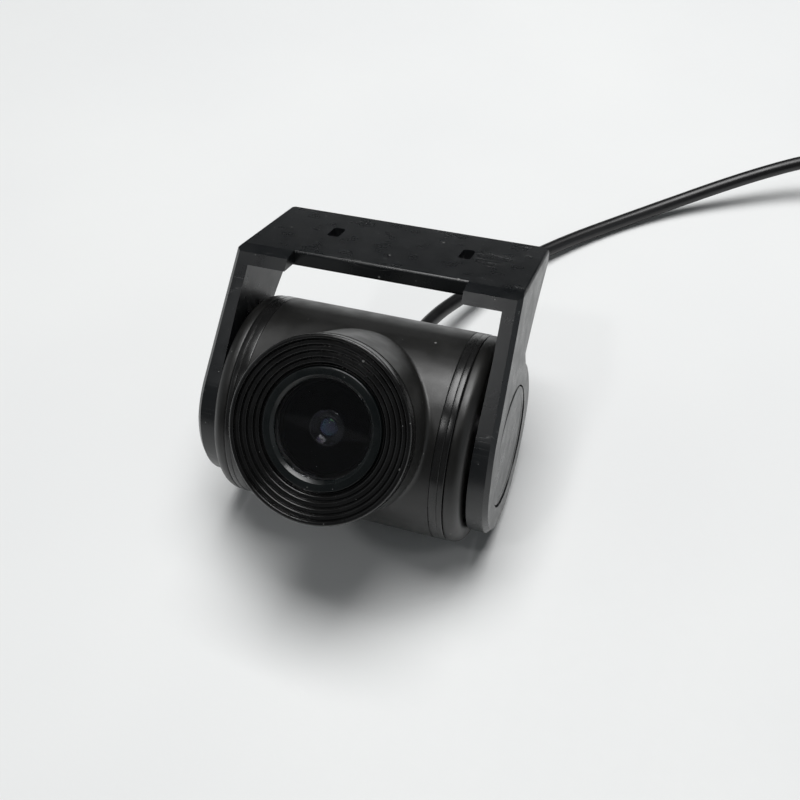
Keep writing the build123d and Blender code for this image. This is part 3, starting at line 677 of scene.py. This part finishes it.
class Copies:
    """Geometry Nodes trees that set out repeated pieces."""

    def __init__(self) -> None:
        """Build the two trees."""
        turning = (("Axis", "NodeSocketVector"), ("Step", "NodeSocketFloat"))
        self.turned = self._tree("copies_round_an_axis", turning)
        self.rowed = self._tree("copies_in_a_row", (("Offset", "NodeSocketVector"),))
        self._fill_turned()
        self._fill_rowed()

    def _tree(self, name: str, extra: tuple[tuple[str, str], ...]) -> bpy.types.NodeTree:
        """A tree with its common inputs.

        Args:
            name: the tree's name.
            extra: further inputs as (name, socket type).

        Returns:
            The empty tree.
        """
        tree = bpy.data.node_groups.new(name, "GeometryNodeTree")
        tree.interface.new_socket("Geometry", in_out="OUTPUT", socket_type="NodeSocketGeometry")
        inputs = (("Geometry", "NodeSocketGeometry"), ("Count", "NodeSocketInt"), *extra,
                  ("Material", "NodeSocketMaterial"))
        for label, kind in inputs:
            tree.interface.new_socket(label, in_out="INPUT", socket_type=kind)
        return tree

    def _ends(self, tree: bpy.types.NodeTree) -> tuple[bpy.types.Node, bpy.types.Node]:
        """The group's input node, and the instancing node with the tree's end behind it."""
        given = tree.nodes.new("NodeGroupInput")
        spread = tree.nodes.new("GeometryNodeInstanceOnPoints")
        real = tree.nodes.new("GeometryNodeRealizeInstances")
        paint = tree.nodes.new("GeometryNodeSetMaterial")
        result = tree.nodes.new("NodeGroupOutput")
        wire(tree, (given, "Geometry", spread, "Instance"), (spread, "Instances", real, "Geometry"),
             (real, "Geometry", paint, "Geometry"), (given, "Material", paint, "Material"),
             (paint, "Geometry", result, "Geometry"))
        return given, spread

    def _fill_turned(self) -> None:
        """Copies that stay on the origin and turn about an axis by equal steps."""
        tree = self.turned
        given, spread = self._ends(tree)
        line = tree.nodes.new("GeometryNodeMeshLine")
        line.inputs["Offset"].default_value = (0.0, 0.0, 0.0)
        index = tree.nodes.new("GeometryNodeInputIndex")
        angle = tree.nodes.new("ShaderNodeMath")
        angle.operation = "MULTIPLY"
        turn = tree.nodes.new("ShaderNodeVectorMath")
        turn.operation = "SCALE"
        wire(tree, (given, "Count", line, "Count"), (line, "Mesh", spread, "Points"),
             (index, "Index", angle, 0), (given, "Step", angle, 1), (given, "Axis", turn, 0),
             (angle, 0, turn, "Scale"), (turn, 0, spread, "Rotation"))

    def _fill_rowed(self) -> None:
        """Copies shifted by equal steps, starting where the first one is."""
        tree = self.rowed
        given, spread = self._ends(tree)
        line = tree.nodes.new("GeometryNodeMeshLine")
        wire(tree, (given, "Count", line, "Count"), (given, "Offset", line, "Offset"),
             (line, "Mesh", spread, "Points"))

    def run(self, mesh: bpy.types.Mesh, tree: bpy.types.NodeTree,
            values: dict[str, object]) -> bpy.types.Mesh:
        """Run a tree on a mesh and keep the result.

        Args:
            mesh: the first copy.
            tree: one of this class's trees.
            values: the tree's inputs by name.

        Returns:
            A plain mesh with all copies.
        """
        carrier = link("copy_carrier", mesh)
        setup = carrier.modifiers.new("copies", "NODES")
        setup.node_group = tree
        names = {item.name: item.identifier for item in tree.interface.items_tree
                 if item.item_type == "SOCKET" and item.in_out == "INPUT"}
        for key, value in values.items():
            setup[names[key]] = value
        bpy.context.view_layer.update()
        shown = carrier.evaluated_get(bpy.context.evaluated_depsgraph_get())
        made = bpy.data.meshes.new_from_object(shown)
        made.name = mesh.name + "_set"
        bpy.data.objects.remove(carrier)
        return made

    def round_axis(self, mesh: bpy.types.Mesh, axis: Corner, count: int, paint: bpy.types.Material,
                   step: Optional[float] = None) -> bpy.types.Mesh:
        """Equal copies round an axis through the origin.

        Args:
            mesh: the first copy, about the origin.
            axis: the axis.
            count: how many.
            paint: their material.
            step: turn between copies in degrees, a full circle shared out by default.

        Returns:
            The mesh.
        """
        turn = math.radians(360.0 / count if step is None else step)
        return self.run(mesh, self.turned, {"Axis": axis, "Step": turn, "Count": count, "Material": paint})

    def in_row(self, mesh: bpy.types.Mesh, offset: Corner, count: int,
               paint: bpy.types.Material) -> bpy.types.Mesh:
        """Equal copies in a row.

        Args:
            mesh: the first copy.
            offset: step from one to the next, in metres.
            count: how many.
            paint: their material.

        Returns:
            The mesh.
        """
        return self.run(mesh, self.rowed, {"Offset": offset, "Count": count, "Material": paint})


@dataclass
class Assembly:
    """What every sub-assembly needs: frames, finishes and copy tools."""

    frames: Frames
    palette: Palette
    copies: Copies
    made: list[bpy.types.Object] = field(default_factory=list)

    def add(self, piece: bpy.types.Object, finish: str, body: Body, nodes: Iterable[str] = (),
            slot: Optional[str] = None) -> bpy.types.Object:
        """Give a piece its finish and its place in the assembly.

        Args:
            piece: the object.
            finish: name of its material.
            body: the body it moves with.
            nodes: CAD nodes that it stands for.
            slot: the record's material slot; not used.

        Returns:
            The same object.
        """
        piece.data.materials.clear()
        piece.data.materials.append(self.palette[finish])
        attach(piece, body.value)
        if nodes:
            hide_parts(*nodes)
        self.made.append(piece)
        return piece

    def dress(self, node: str, finish: str) -> None:
        """Give a CAD node that stays its material."""
        piece = self.frames.nodes[node]
        if not piece.material_slots:
            piece.data.materials.append(None)
        for slot in piece.material_slots:
            slot.material = self.palette[finish]
        self.made.append(piece)

    def report(self) -> None:
        """Log every piece of this sub-assembly."""
        for piece in self.made:
            log.info("%s: %s on %s", type(self).__name__, piece.name, body_of(piece))


def both_sides(mesh: bpy.types.Mesh, place: Matrix) -> bpy.types.Mesh:
    """Add a mirror image across the frame's own YZ plane.

    Args:
        mesh: the right-hand side, in the row frame.
        place: the frame whose X is mirrored.

    Returns:
        A mesh with both sides and outward normals.
    """
    flip = place @ Matrix.Scale(-1.0, 4, Vector((1.0, 0.0, 0.0))) @ place.inverted()
    shape = bmesh.new()
    shape.from_mesh(mesh)
    other = mesh.copy()
    other.transform(flip)
    other.flip_normals()
    shape.from_mesh(other)
    pair = bpy.data.meshes.new(mesh.name + "_pair")
    shape.to_mesh(pair)
    shape.free()
    return pair


@dataclass
class Drum(Assembly):
    """Drum housing with its trim rings, end caps and screws. Distances in millimetres."""

    radius: float = 20.6
    half: float = 19.0
    seam: float = 0.05
    ring_width: float = 2.6
    ring_bore: float = 17.75
    groove: float = 0.12
    groove_place: float = 1.5
    cap_face: float = 24.65
    screw_circle: float = 14.6
    screw_radius: float = 1.25
    screw_head: float = 2.25
    screw_back: float = 12.0

    def build(self) -> None:
        """Make the drum's pieces."""
        shell = self.frames.softened("housing", "drum_shell", 0.12)
        self.add(shell, "drum_satin_black", Body.HEAD, ("housing",), "housing_black")
        for side, sign in (("right", 1.0), ("left", -1.0)):
            ring = link(f"trim_band_{side}", self.trim_ring(sign))
            self.add(ring, "trim_gloss_black", Body.HEAD, (f"trim_ring_{side}",), "trim_black")
            cap = self.frames.softened(f"end_cap_{side}", f"end_cover_{side}", 0.12)
            self.add(cap, "drum_satin_black", Body.HEAD, (f"end_cap_{side}",), "housing_black")
        screws = link("cap_screw_set", self.cap_screws())
        self.add(screws, "screw_plated", Body.HEAD, ("cap_screws",), "screw_steel")
        self.dress("end_seals", "soft_seal")
        self.dress("pivot_inserts", "turned_brass")
        self.dress("pivot_screws", "screw_plated")

    def trim_ring(self, sign: float) -> bpy.types.Mesh:
        """One trim ring with its V groove and rolled edges.

        Args:
            sign: 1 for the right-hand side, -1 for the left.

        Returns:
            The mesh.
        """
        start = self.half + self.seam
        middle = start + self.groove_place
        end = start + self.ring_width
        corners = [(self.ring_bore, start, 0.0), (self.radius, start, 0.16),
                   (self.radius, middle - self.groove, 0.05), (self.radius - self.groove, middle, 0.03),
                   (self.radius, middle + self.groove, 0.05), (self.radius, end, 0.3),
                   (self.ring_bore, end, 0.0)]
        signed = [(r, sign * x, rounding) for r, x, rounding in corners]
        return self.frames.turned("trim_band", Axis.PIVOT, signed, 160)

    def cap_screws(self) -> bpy.types.Mesh:
        """Six countersunk screws with cone-shaped recesses, three in each cap."""
        head = self.cap_face - 0.1
        neck = head - self.screw_head + self.screw_radius
        corners = [(0.0, self.screw_back, 0.0), (self.screw_radius - 0.35, self.screw_back, 0.0),
                   (self.screw_radius, self.screw_back + 0.5, 0.1), (self.screw_radius, neck, 0.1),
                   (self.screw_head - 0.05, head - 0.1, 0.06), (1.05, head, 0.1), (0.55, head - 0.5, 0.1),
                   (0.0, head - 0.62, 0.0)]
        place = Matrix.Translation((0.0, self.screw_circle * MM, 0.0))
        first = self.frames.turned("cap_screw", Axis.PIVOT, corners, 32, place, 3)
        ring = self.copies.round_axis(first, (1.0, 0.0, 0.0), 3, self.palette["screw_plated"])
        ring.transform(self.frames.head)
        return both_sides(ring, self.frames.head)


@dataclass
class LensGroup(Assembly):
    """Bezel, cover glass, retaining ring and lens. Distances from the pivot axis in millimetres."""

    rim_radius: float = 16.8
    rim_end: float = 29.2
    bore: float = 14.9
    nozzle_end: float = 26.25
    bezel_back: float = 23.6
    gasket_bore: float = 8.8
    gasket: float = 0.5
    steps: tuple[Point, ...] = ((16.0, 28.7), (15.0, 28.3), (13.95, 27.9), (12.8, 27.5), (11.8, 26.9))
    step_round: float = 0.2
    foot_depth: float = 0.28
    foot_width: float = 0.22
    foot_slope: float = 0.12
    shelf: float = 24.6
    retainer_radius: float = 11.1
    retainer_end: float = 27.6
    retainer_seat: float = 25.6
    window_radius: float = 9.07
    glass_radius: float = 9.8
    glass_face: float = 26.6
    nose_radius: float = 3.25
    nose_end: float = 24.0
    shroud_radius: float = 8.2
    shroud_back: float = 22.95
    shroud_end: float = 24.3
    barrel_radius: float = 6.0
    barrel_back: float = 12.0
    shoulder: float = 22.9

    def build(self) -> None:
        """Make the lens group's pieces."""
        bezel = link("stepped_bezel", self.bezel())
        self.add(bezel, "bezel_satin_black", Body.HEAD, ("front_bezel",), "bezel_black")
        ring = link("retaining_ring", self.retainer())
        self.add(ring, "retainer_satin", Body.HEAD, ("lens_retainer",), "retainer_satin")
        glass = link("cover_window", self.window())
        self.add(glass, "window_glass", Body.HEAD, ("cover_glass",), "clear_glass")
        baffle = link("lens_shroud", self.shroud())
        self.add(baffle, "baffle_dead_black", Body.HEAD, ("lens_baffle",), "baffle_black")
        barrel = link("lens_nose", self.barrel())
        self.add(barrel, "lens_black", Body.HEAD, ("lens_barrel",), "lens_black")
        front = link("front_dome", self.dome())
        self.add(front, "coated_element", Body.HEAD, ("front_element",), "coated_glass")
        for node, finish in (("glass_gasket", "soft_seal"), ("rear_element", "coated_element"),
                             ("lens_holder", "lens_black"), ("infrared_filter", "filter_glass"),
                             ("image_sensor", "sensor_die")):
            self.dress(node, finish)

    def bezel(self) -> bpy.types.Mesh:
        """The front bezel: a rolled rim and five steps down to the glass."""
        corners = [(self.bore, self.bezel_back, 0.1), (self.bore, self.nozzle_end, 0.0),
                   (self.rim_radius, self.nozzle_end, 0.12), (self.rim_radius, self.rim_end, 0.38),
                   (self.steps[0][0], self.rim_end, 0.16)]
        seat, rest = self.retainer_radius + 0.1, self.glass_radius + 0.1
        inner = [radius for radius, _ in self.steps[1:]] + [seat]
        for (radius, tread), next_radius in zip(self.steps, inner):
            foot = tread - self.foot_depth
            inside = radius - self.foot_width
            corners += [(radius, foot, 0.04), (inside, foot, 0.04), (inside - self.foot_slope, tread, 0.06),
                        (next_radius, tread, self.step_round)]
        corners += [(seat, self.retainer_seat, 0.0), (rest, self.retainer_seat, 0.0), (rest, self.shelf, 0.0),
                    (self.gasket_bore, self.shelf, 0.1), (self.gasket_bore, self.bezel_back, 0.1)]
        return self.frames.turned("stepped_bezel", Axis.LENS, corners, 192, steps=3)

    def retainer(self) -> bpy.types.Mesh:
        """The ring that holds the glass, with a bevelled window."""
        face = self.glass_face + 0.02
        seat = self.retainer_seat + 0.02
        inside = self.glass_radius + 0.1
        corners = [(self.retainer_radius, seat, 0.0), (self.retainer_radius, self.retainer_end, 0.3),
                   (self.window_radius + 0.6, self.retainer_end, 0.12),
                   (self.window_radius, self.retainer_end - 0.6, 0.08), (self.window_radius, face, 0.0),
                   (inside, face, 0.0), (inside, seat, 0.0)]
        return self.frames.turned("retaining_ring", Axis.LENS, corners, 160)

    def window(self) -> bpy.types.Mesh:
        """The flat cover glass with ground edges."""
        back = self.shelf + self.gasket
        corners = [(0.0, back, 0.0), (self.glass_radius, back, 0.1),
                   (self.glass_radius, self.glass_face, 0.25), (0.0, self.glass_face, 0.0)]
        return self.frames.turned("cover_window", Axis.LENS, corners, 96)

    def shroud(self) -> bpy.types.Mesh:
        """The shallow black cone round the lens nose."""
        inner, outer, low = self.nose_radius + 0.1, self.shroud_radius, self.shroud_back
        corners = [(inner, low, 0.0), (outer, low, 0.0), (outer, self.shroud_end, 0.1),
                   (outer - 0.4, self.shroud_end, 0.1), (inner, low + 0.55, 0.0)]
        return self.frames.turned("lens_shroud", Axis.LENS, corners, 96)

    def barrel(self) -> bpy.types.Mesh:
        """The lens barrel, its nose with anti-glare rings inside the rim."""
        end = self.nose_end
        back, nose, wide = self.barrel_back, self.nose_radius, self.barrel_radius
        corners = [(3.25, back, 0.0), (wide, back, 0.2), (wide, self.shoulder, 0.2),
                   (nose, self.shoulder, 0.05), (nose, end, 0.16), (nose - 0.38, end, 0.06),
                   (2.72, end - 0.34, 0.03),
                   (2.5, end - 0.34, 0.05), (2.42, end - 0.52, 0.02), (2.18, end - 0.52, 0.05),
                   (2.02, end - 0.62, 0.03), (1.78, end - 0.62, 0.06), (1.75, end - 1.0, 0.0),
                   (1.95, end - 1.0, 0.0), (1.95, end - 2.4, 0.0), (1.2, end - 2.4, 0.0),
                   (1.2, back + 2.0, 0.0), (3.25, back + 2.0, 0.0)]
        return self.frames.turned("lens_nose", Axis.LENS, corners, 96, steps=3)

    def dome(self) -> bpy.types.Mesh:
        """The domed front element with a concave back."""
        radius, rise, edge, back = 1.7, 0.75, self.nose_end - 1.35, self.nose_end - 2.35
        outline: list[Corner] = [(radius, back, 0.0), (radius, edge, 0.0)]
        for k in range(1, 13):
            angle = math.radians(90.0 * k / 12)
            outline.append((radius * math.cos(angle), edge + rise * math.sin(angle), 0.0))
        outline[-1] = (0.0, edge + rise, 0.0)
        outline += [(0.0, back + 0.4, 0.0), (radius * 0.5, back + 0.3, 0.0)]
        return self.frames.turned("front_dome", Axis.LENS, outline, 64)


@dataclass
class Electronics(Assembly):
    """The two boards with what is soldered or screwed to them."""

    pitch: float = 18.4
    front: float = 13.1
    back: float = -3.6

    def build(self) -> None:
        """Dress the boards and make their screws and spacers."""
        for node, finish in (("sensor_board", "solder_mask"), ("main_board", "solder_mask"),
                             ("board_chips", "chip_epoxy"), ("board_socket", "socket_nylon"),
                             ("core_plug", "socket_nylon"), ("cable_core", "core_sheath")):
            self.dress(node, finish)
        screws = link("board_screw_set", self.at_pillars("board_screw", [
            (0.0, self.back - 0.9, 0.0), (0.9, self.back - 0.9, 0.1), (1.0, self.back - 1.3, 0.1),
            (1.9, self.back - 1.1, 0.2), (1.9, self.back, 0.05), (1.0, self.back, 0.0),
            (1.0, self.front, 0.15),
            (0.0, self.front, 0.0)], "screw_plated"))
        self.add(screws, "screw_plated", Body.HEAD, ("board_screws",), "screw_steel")
        spacers = link("board_spacer_set", self.at_pillars("board_spacer", [
            (1.1, -2.0, 0.1), (2.0, -2.0, 0.15), (2.0, 7.9, 0.15), (1.1, 7.9, 0.1)], "turned_brass"))
        self.add(spacers, "turned_brass", Body.HEAD, ("board_spacers",), "brass")

    def at_pillars(self, name: str, corners: list[Corner], finish: str) -> bpy.types.Mesh:
        """Four copies of a turned piece at the pillars.

        Args:
            name: the piece's name.
            corners: its outline.
            finish: its material.

        Returns:
            The mesh.
        """
        half = self.pitch / 2 * MM
        first = self.frames.turned(name, Axis.LENS, corners, 32, Matrix.Translation((-half, 0.0, -half)), 3)
        paint = self.palette[finish]
        row = self.copies.in_row(first, (2 * half, 0.0, 0.0), 2, paint)
        grid = self.copies.in_row(row, (0.0, 0.0, 2 * half), 2, paint)
        grid.transform(self.frames.head)
        return grid


@dataclass
class Bracket(Assembly):
    """The U bracket with its friction washers and cover discs."""

    cover_floor: float = 28.45
    cover_thickness: float = 0.7
    cover_radius: float = 11.9

    def build(self) -> None:
        """Make the bracket's pieces."""
        frame = self.frames.softened("bracket", "bracket_frame", 0.32)
        self.add(frame, "bracket_matte_black", Body.BRACKET, ("bracket",), "bracket_black")
        discs = link("pivot_cover_discs", self.cover_discs())
        self.add(discs, "bracket_matte_black", Body.BRACKET, ("cover_discs",), "bracket_black")
        self.dress("friction_washers", "spring_steel")

    def cover_discs(self) -> bpy.types.Mesh:
        """Two thin discs that hide the pivot screws."""
        end = self.cover_floor + self.cover_thickness
        corners = [(0.0, self.cover_floor, 0.0), (self.cover_radius, self.cover_floor, 0.05),
                   (self.cover_radius, end, 0.28), (self.cover_radius - 1.5, end, 0.1),
                   (self.cover_radius - 1.7, end - 0.08, 0.1), (0.0, end - 0.08, 0.0)]
        disc = self.frames.turned("pivot_cover_disc", Axis.PIVOT, corners, 128, self.frames.bracket)
        return both_sides(disc, self.frames.bracket)


@dataclass
class Cord(Assembly):
    """The cable from the gland to the plug, with its coil and tie. Points in millimetres."""

    radius: float = 1.7
    lead: float = 10.0
    gland_tip: float = 28.6
    route: tuple[Corner, ...] = ((6.5, 51.6, 5.6), (20.0, 73.7, 2.4), (42.3, 94.4, 1.7), (67.4, 108.9, 7.5),
                                 (86.0, 117.0, 11.0), (106.0, 116.3, 6.8))
    coil_centre: Point = (128.0, 95.1)
    inner_turn: float = 16.85
    outer_turn: float = 20.25
    lower: float = 1.72
    upper: float = 5.1
    turns: float = 3.25
    points_per_turn: int = 18
    pin_ends: Point = (28.0, 39.5)
    pin_radius: float = 0.5
    pin_circle: float = 1.8
    pin_count: int = 4
    tail: tuple[Corner, ...] = ((149.0, 76.3, 3.2), (147.5, 59.3, 5.2), (146.0, 46.3, 5.7))

    def build(self) -> None:
        """Make the cable and what is on it."""
        gland = self.frames.softened("cable_gland", "strain_relief", 0.1)
        self.add(gland, "cable_jacket", Body.HEAD, ("cable_gland",), "cable_rubber")
        exit_point, points = self.points()
        cable = self.cable(points)
        cable.data.materials.append(self.palette["cable_jacket"])
        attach(cable, Body.HEAD.value)
        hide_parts("cable", "cable_coil", "cable_tail")
        self.made.append(cable)
        on_cord = self.plug() + [self.tie()]
        self.length(cable)

    def points(self) -> tuple[Vector, list[Vector]]:
        """The exit and the control points of the cable, in metres."""
        out = self.frames.gland.to_3x3() @ Vector((0.0, 1.0, 0.0))
        pivot = self.frames.gland.translation
        exit_point = pivot + out * self.gland_tip * MM
        lead = exit_point + out * self.lead * MM
        free = [Vector(p) * MM for p in self.route]
        end = [Vector(p) * MM for p in self.tail]
        return exit_point, [exit_point, lead, *free, *self.coil_points(), *end]

    def coil_points(self) -> list[Vector]:
        """Control points of the coil: two turns side by side, then a third on top of them."""
        made = []
        total = round(self.turns * self.points_per_turn)
        for k in range(total + 1):
            wound = 360.0 * k / self.points_per_turn
            radius = self.outer_turn + (self.inner_turn - self.outer_turn) * (
                smooth(wound, 300.0, 358.0) - smooth(wound, 1084.0, 1150.0))
            height = self.lower + (self.upper - self.lower) * smooth(wound, 575.0, 650.0)
            angle = math.radians(90.0 - wound)
            radius /= 0.5 + 0.5 * math.cos(2 * math.pi / self.points_per_turn) ** 0.5
            made.append(Vector((self.coil_centre[0] + radius * math.cos(angle),
                                self.coil_centre[1] + radius * math.sin(angle), height)) * MM)
        return made

    def cable(self, points: list[Vector]) -> bpy.types.Object:
        """The cable as one round curve."""
        curve = bpy.data.curves.new("camera_cable", "CURVE")
        curve.dimensions = "3D"
        curve.resolution_u = 8
        curve.bevel_depth = self.radius * MM
        curve.bevel_resolution = 5
        curve.use_fill_caps = True
        line = curve.splines.new("NURBS")
        line.points.add(len(points) - 1)
        for target, place in zip(line.points, points):
            target.co = (*place, 1.0)
        line.order_u = 3
        line.use_endpoint_u = True
        cable = bpy.data.objects.new("camera_cable", curve)
        bpy.context.scene.collection.objects.link(cable)
        return cable

    def length(self, cable: bpy.types.Object) -> float:
        """Length of the cable's middle line, in metres."""
        bare = bpy.data.objects.new("middle_line", cable.data.copy())
        bare.data.bevel_depth = 0.0
        line = bpy.data.meshes.new_from_object(bare)
        ends = [v.co.copy() for v in line.vertices]
        bpy.data.curves.remove(bare.data)
        bpy.data.meshes.remove(line)
        return sum((b - a).length for a, b in zip(ends, ends[1:]))

    def plug(self) -> list[bpy.types.Object]:
        """The plug's pieces."""
        shell = self.frames.softened("plug_shell", "plug_body", 0.12)
        self.add(shell, "plug_shell_black", Body.HEAD, ("plug_shell",), "plug_black")
        pins = link("plug_pin_set", self.pins())
        self.add(pins, "pin_gold", Body.HEAD, ("plug_pins",), "gold_pin")
        self.dress("plug_insulator", "insulator")
        self.dress("plug_seal", "soft_seal")
        return [shell, pins, self.frames.nodes["plug_insulator"], self.frames.nodes["plug_seal"]]

    def pins(self) -> bpy.types.Mesh:
        """Four round-nosed contact pins on a circle."""
        (back, tip), radius = self.pin_ends, self.pin_radius
        corners = [(0.0, back, 0.0), (radius, back, 0.05), (radius, tip, 0.4), (0.0, tip, 0.0)]
        side = self.pin_circle * MM / math.sqrt(2)
        place = Matrix.Translation((side, 0.0, side))
        first = self.frames.turned("contact_pin", Axis.PLUG, corners, 24, place)
        ring = self.copies.round_axis(first, (0.0, 1.0, 0.0), self.pin_count, self.palette["pin_gold"])
        ring.transform(self.frames.plug)
        return ring

    def tie(self) -> bpy.types.Object:
        """The tie round the coil."""
        tie = self.frames.softened("coil_tie", "coil_strap", 0.25)
        return self.add(tie, "tie_nylon", Body.HEAD, ("coil_tie",), "tie_black")


def smooth(value: float, start: float, end: float) -> float:
    """0 before start, 1 after end, and an even slope between."""
    t = min(1.0, max(0.0, (value - start) / (end - start)))
    return t * t * (3 - 2 * t)


# The studio


@dataclass
class Studio:
    """Pale floor, soft light and the camera."""

    room_colour: Corner = (0.93, 0.97, 1.0)
    backdrop: float = 0.8
    floor_reach: tuple[float, float, float] = (0.55, -0.65, 0.265)
    eye: Corner = (0.052496, -0.104581, 0.169385)
    view: Corner = (-0.25022, 0.56893, -0.7834)
    right: Corner = (0.94668, 0.31338, -0.07477)
    focal: float = 41.774
    panels: tuple[tuple[Corner, float, float, float], ...] = (
        ((0.0, 0.0, 1.0), -1.0, 0.0, 0.016), ((-0.9, -0.2, 0.3), 0.75, 0.98, 0.4),
        ((0.9, -0.2, 0.35), 0.8, 0.98, 0.4), ((-0.25, -0.95, 0.0), 0.8, 0.812, 0.07))

    def build(self) -> None:
        """Set out floor, lights and camera."""
        self.floor()
        self.sky()
        self.light("overhead_soft_box", (0.03, 0.22, 0.95), (0.0, 0.0, 0.0), (0.58, 0.58), 9.5)
        self.light("front_window", (-0.24, -0.42, 0.86), (0.0, 0.0, 0.02), (0.08, 0.08), 0.5)
        self.camera()
        scene = bpy.context.scene
        scene.view_settings.view_transform = "Standard"

    def floor(self) -> None:
        """A pale paper floor with faint fibres."""
        half, front, back = self.floor_reach
        mesh = bpy.data.meshes.new("floor")
        edge = [(-half, front, 0), (half, front, 0), (half, back, 0), (-half, back, 0)]
        mesh.from_pydata(edge, [], [(0, 1, 2, 3)])
        floor = link("floor", mesh)
        graph = Graph("pale_paper")
        shade = graph.tinted(graph.ranged(graph.noise(9.0), (0.3, 0.7), (0.0, 1.0)), (0.84, 0.85, 0.85),
                             (0.87, 0.88, 0.875))
        graph.put("Base Color", shade)
        graph.put("Roughness", graph.ranged(graph.noise(300.0), (0.3, 0.7), (0.62, 0.7)))
        graph.put("Normal", graph.raised(graph.noise(900.0, 5.0), 0.00003))
        graph.put("Specular IOR Level", 0.2)
        floor.data.materials.append(graph.material)

    def sky(self) -> None:
        """A pale backdrop in a room that is dark in what the camera reflects."""
        world = bpy.data.worlds.new("soft_room")
        world.use_nodes = True
        bpy.context.scene.world = world
        tree = world.node_tree
        lit = tree.nodes["Background"]
        lit.inputs["Color"].default_value = (*self.room_colour, 1.0)
        coords = tree.nodes.new("ShaderNodeTexCoord")
        total: Optional[bpy.types.NodeSocket] = None
        for aim, start, full, strength in self.panels:
            patch = self.patch(tree, coords.outputs["Generated"], aim, start, full, strength)
            if total is None:
                total = patch
            else:
                add = tree.nodes.new("ShaderNodeMath")
                tree.links.new(total, add.inputs[0])
                tree.links.new(patch, add.inputs[1])
                total = add.outputs[0]
        tree.links.new(total, lit.inputs["Strength"])
        shown = tree.nodes.new("ShaderNodeBackground")
        shown.inputs["Color"].default_value = (*self.room_colour, 1.0)
        shown.inputs["Strength"].default_value = self.backdrop
        seen = tree.nodes.new("ShaderNodeLightPath")
        choice = tree.nodes.new("ShaderNodeMixShader")
        wire(tree, (seen, "Is Camera Ray", choice, "Fac"), (lit, "Background", choice, 1),
             (shown, "Background", choice, 2), (choice, "Shader", tree.nodes["World Output"], "Surface"))

    @staticmethod
    def patch(tree: bpy.types.NodeTree, place: bpy.types.NodeSocket, aim: Corner, start: float, full: float,
              strength: float) -> bpy.types.NodeSocket:
        """A soft bright patch of the surroundings.

        Args:
            tree: the world's node tree.
            place: the direction looked in.
            aim: direction of the patch's middle.
            start: cosine at which the patch begins.
            full: cosine at which it is full.
            strength: its strength there.

        Returns:
            The strength socket.
        """
        dot = tree.nodes.new("ShaderNodeVectorMath")
        dot.operation = "DOT_PRODUCT"
        dot.inputs[1].default_value = Vector(aim).normalized()
        fade = tree.nodes.new("ShaderNodeMapRange")
        fade.interpolation_type = "SMOOTHSTEP"
        for key, value in (("From Min", start), ("From Max", full), ("To Min", 0.0), ("To Max", strength)):
            fade.inputs[key].default_value = value
        tree.links.new(place, dot.inputs[0])
        tree.links.new(dot.outputs["Value"], fade.inputs["Value"])
        return fade.outputs["Result"]

    def light(self, name: str, place: Corner, target: Corner, size: Point, power: float) -> None:
        """One soft box.

        Args:
            name: the light's name.
            place: where it is, in metres.
            target: what it points at.
            size: its sides.
            power: its power in watts.
        """
        lamp = bpy.data.lights.new(name, "AREA")
        lamp.shape = "RECTANGLE"
        lamp.size, lamp.size_y = size
        lamp.energy = power
        made = bpy.data.objects.new(name, lamp)
        made.location = place
        made.rotation_euler = (Vector(target) - Vector(place)).to_track_quat("-Z", "Y").to_euler()
        bpy.context.scene.collection.objects.link(made)

    def camera(self) -> None:
        """The camera, at the fitted place."""
        data = bpy.data.cameras.new("camera")
        data.lens = self.focal
        data.sensor_width = 36.0
        data.clip_start = 0.005
        camera = bpy.data.objects.new("camera", data)
        back = -Vector(self.view).normalized()
        side = Vector(self.right).normalized()
        up = back.cross(side)
        turn = Matrix((side, up, back)).transposed().to_4x4()
        camera.matrix_world = Matrix.Translation(Vector(self.eye)) @ turn
        bpy.context.scene.collection.objects.link(camera)
        bpy.context.scene.camera = camera


def main() -> None:
    """Load the frame and build every sub-assembly around it."""
    logging.basicConfig(level=logging.INFO, format="%(name)s: %(message)s")
    frames = Frames(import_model())
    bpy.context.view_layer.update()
    Studio().build()
    palette, copies = Palette(), Copies()
    for kind in (Cord, Drum, LensGroup, Electronics, Bracket):
        assembly = kind(frames, palette, copies)
        assembly.build()
        assembly.report()


if __name__ == "__main__":
    main()
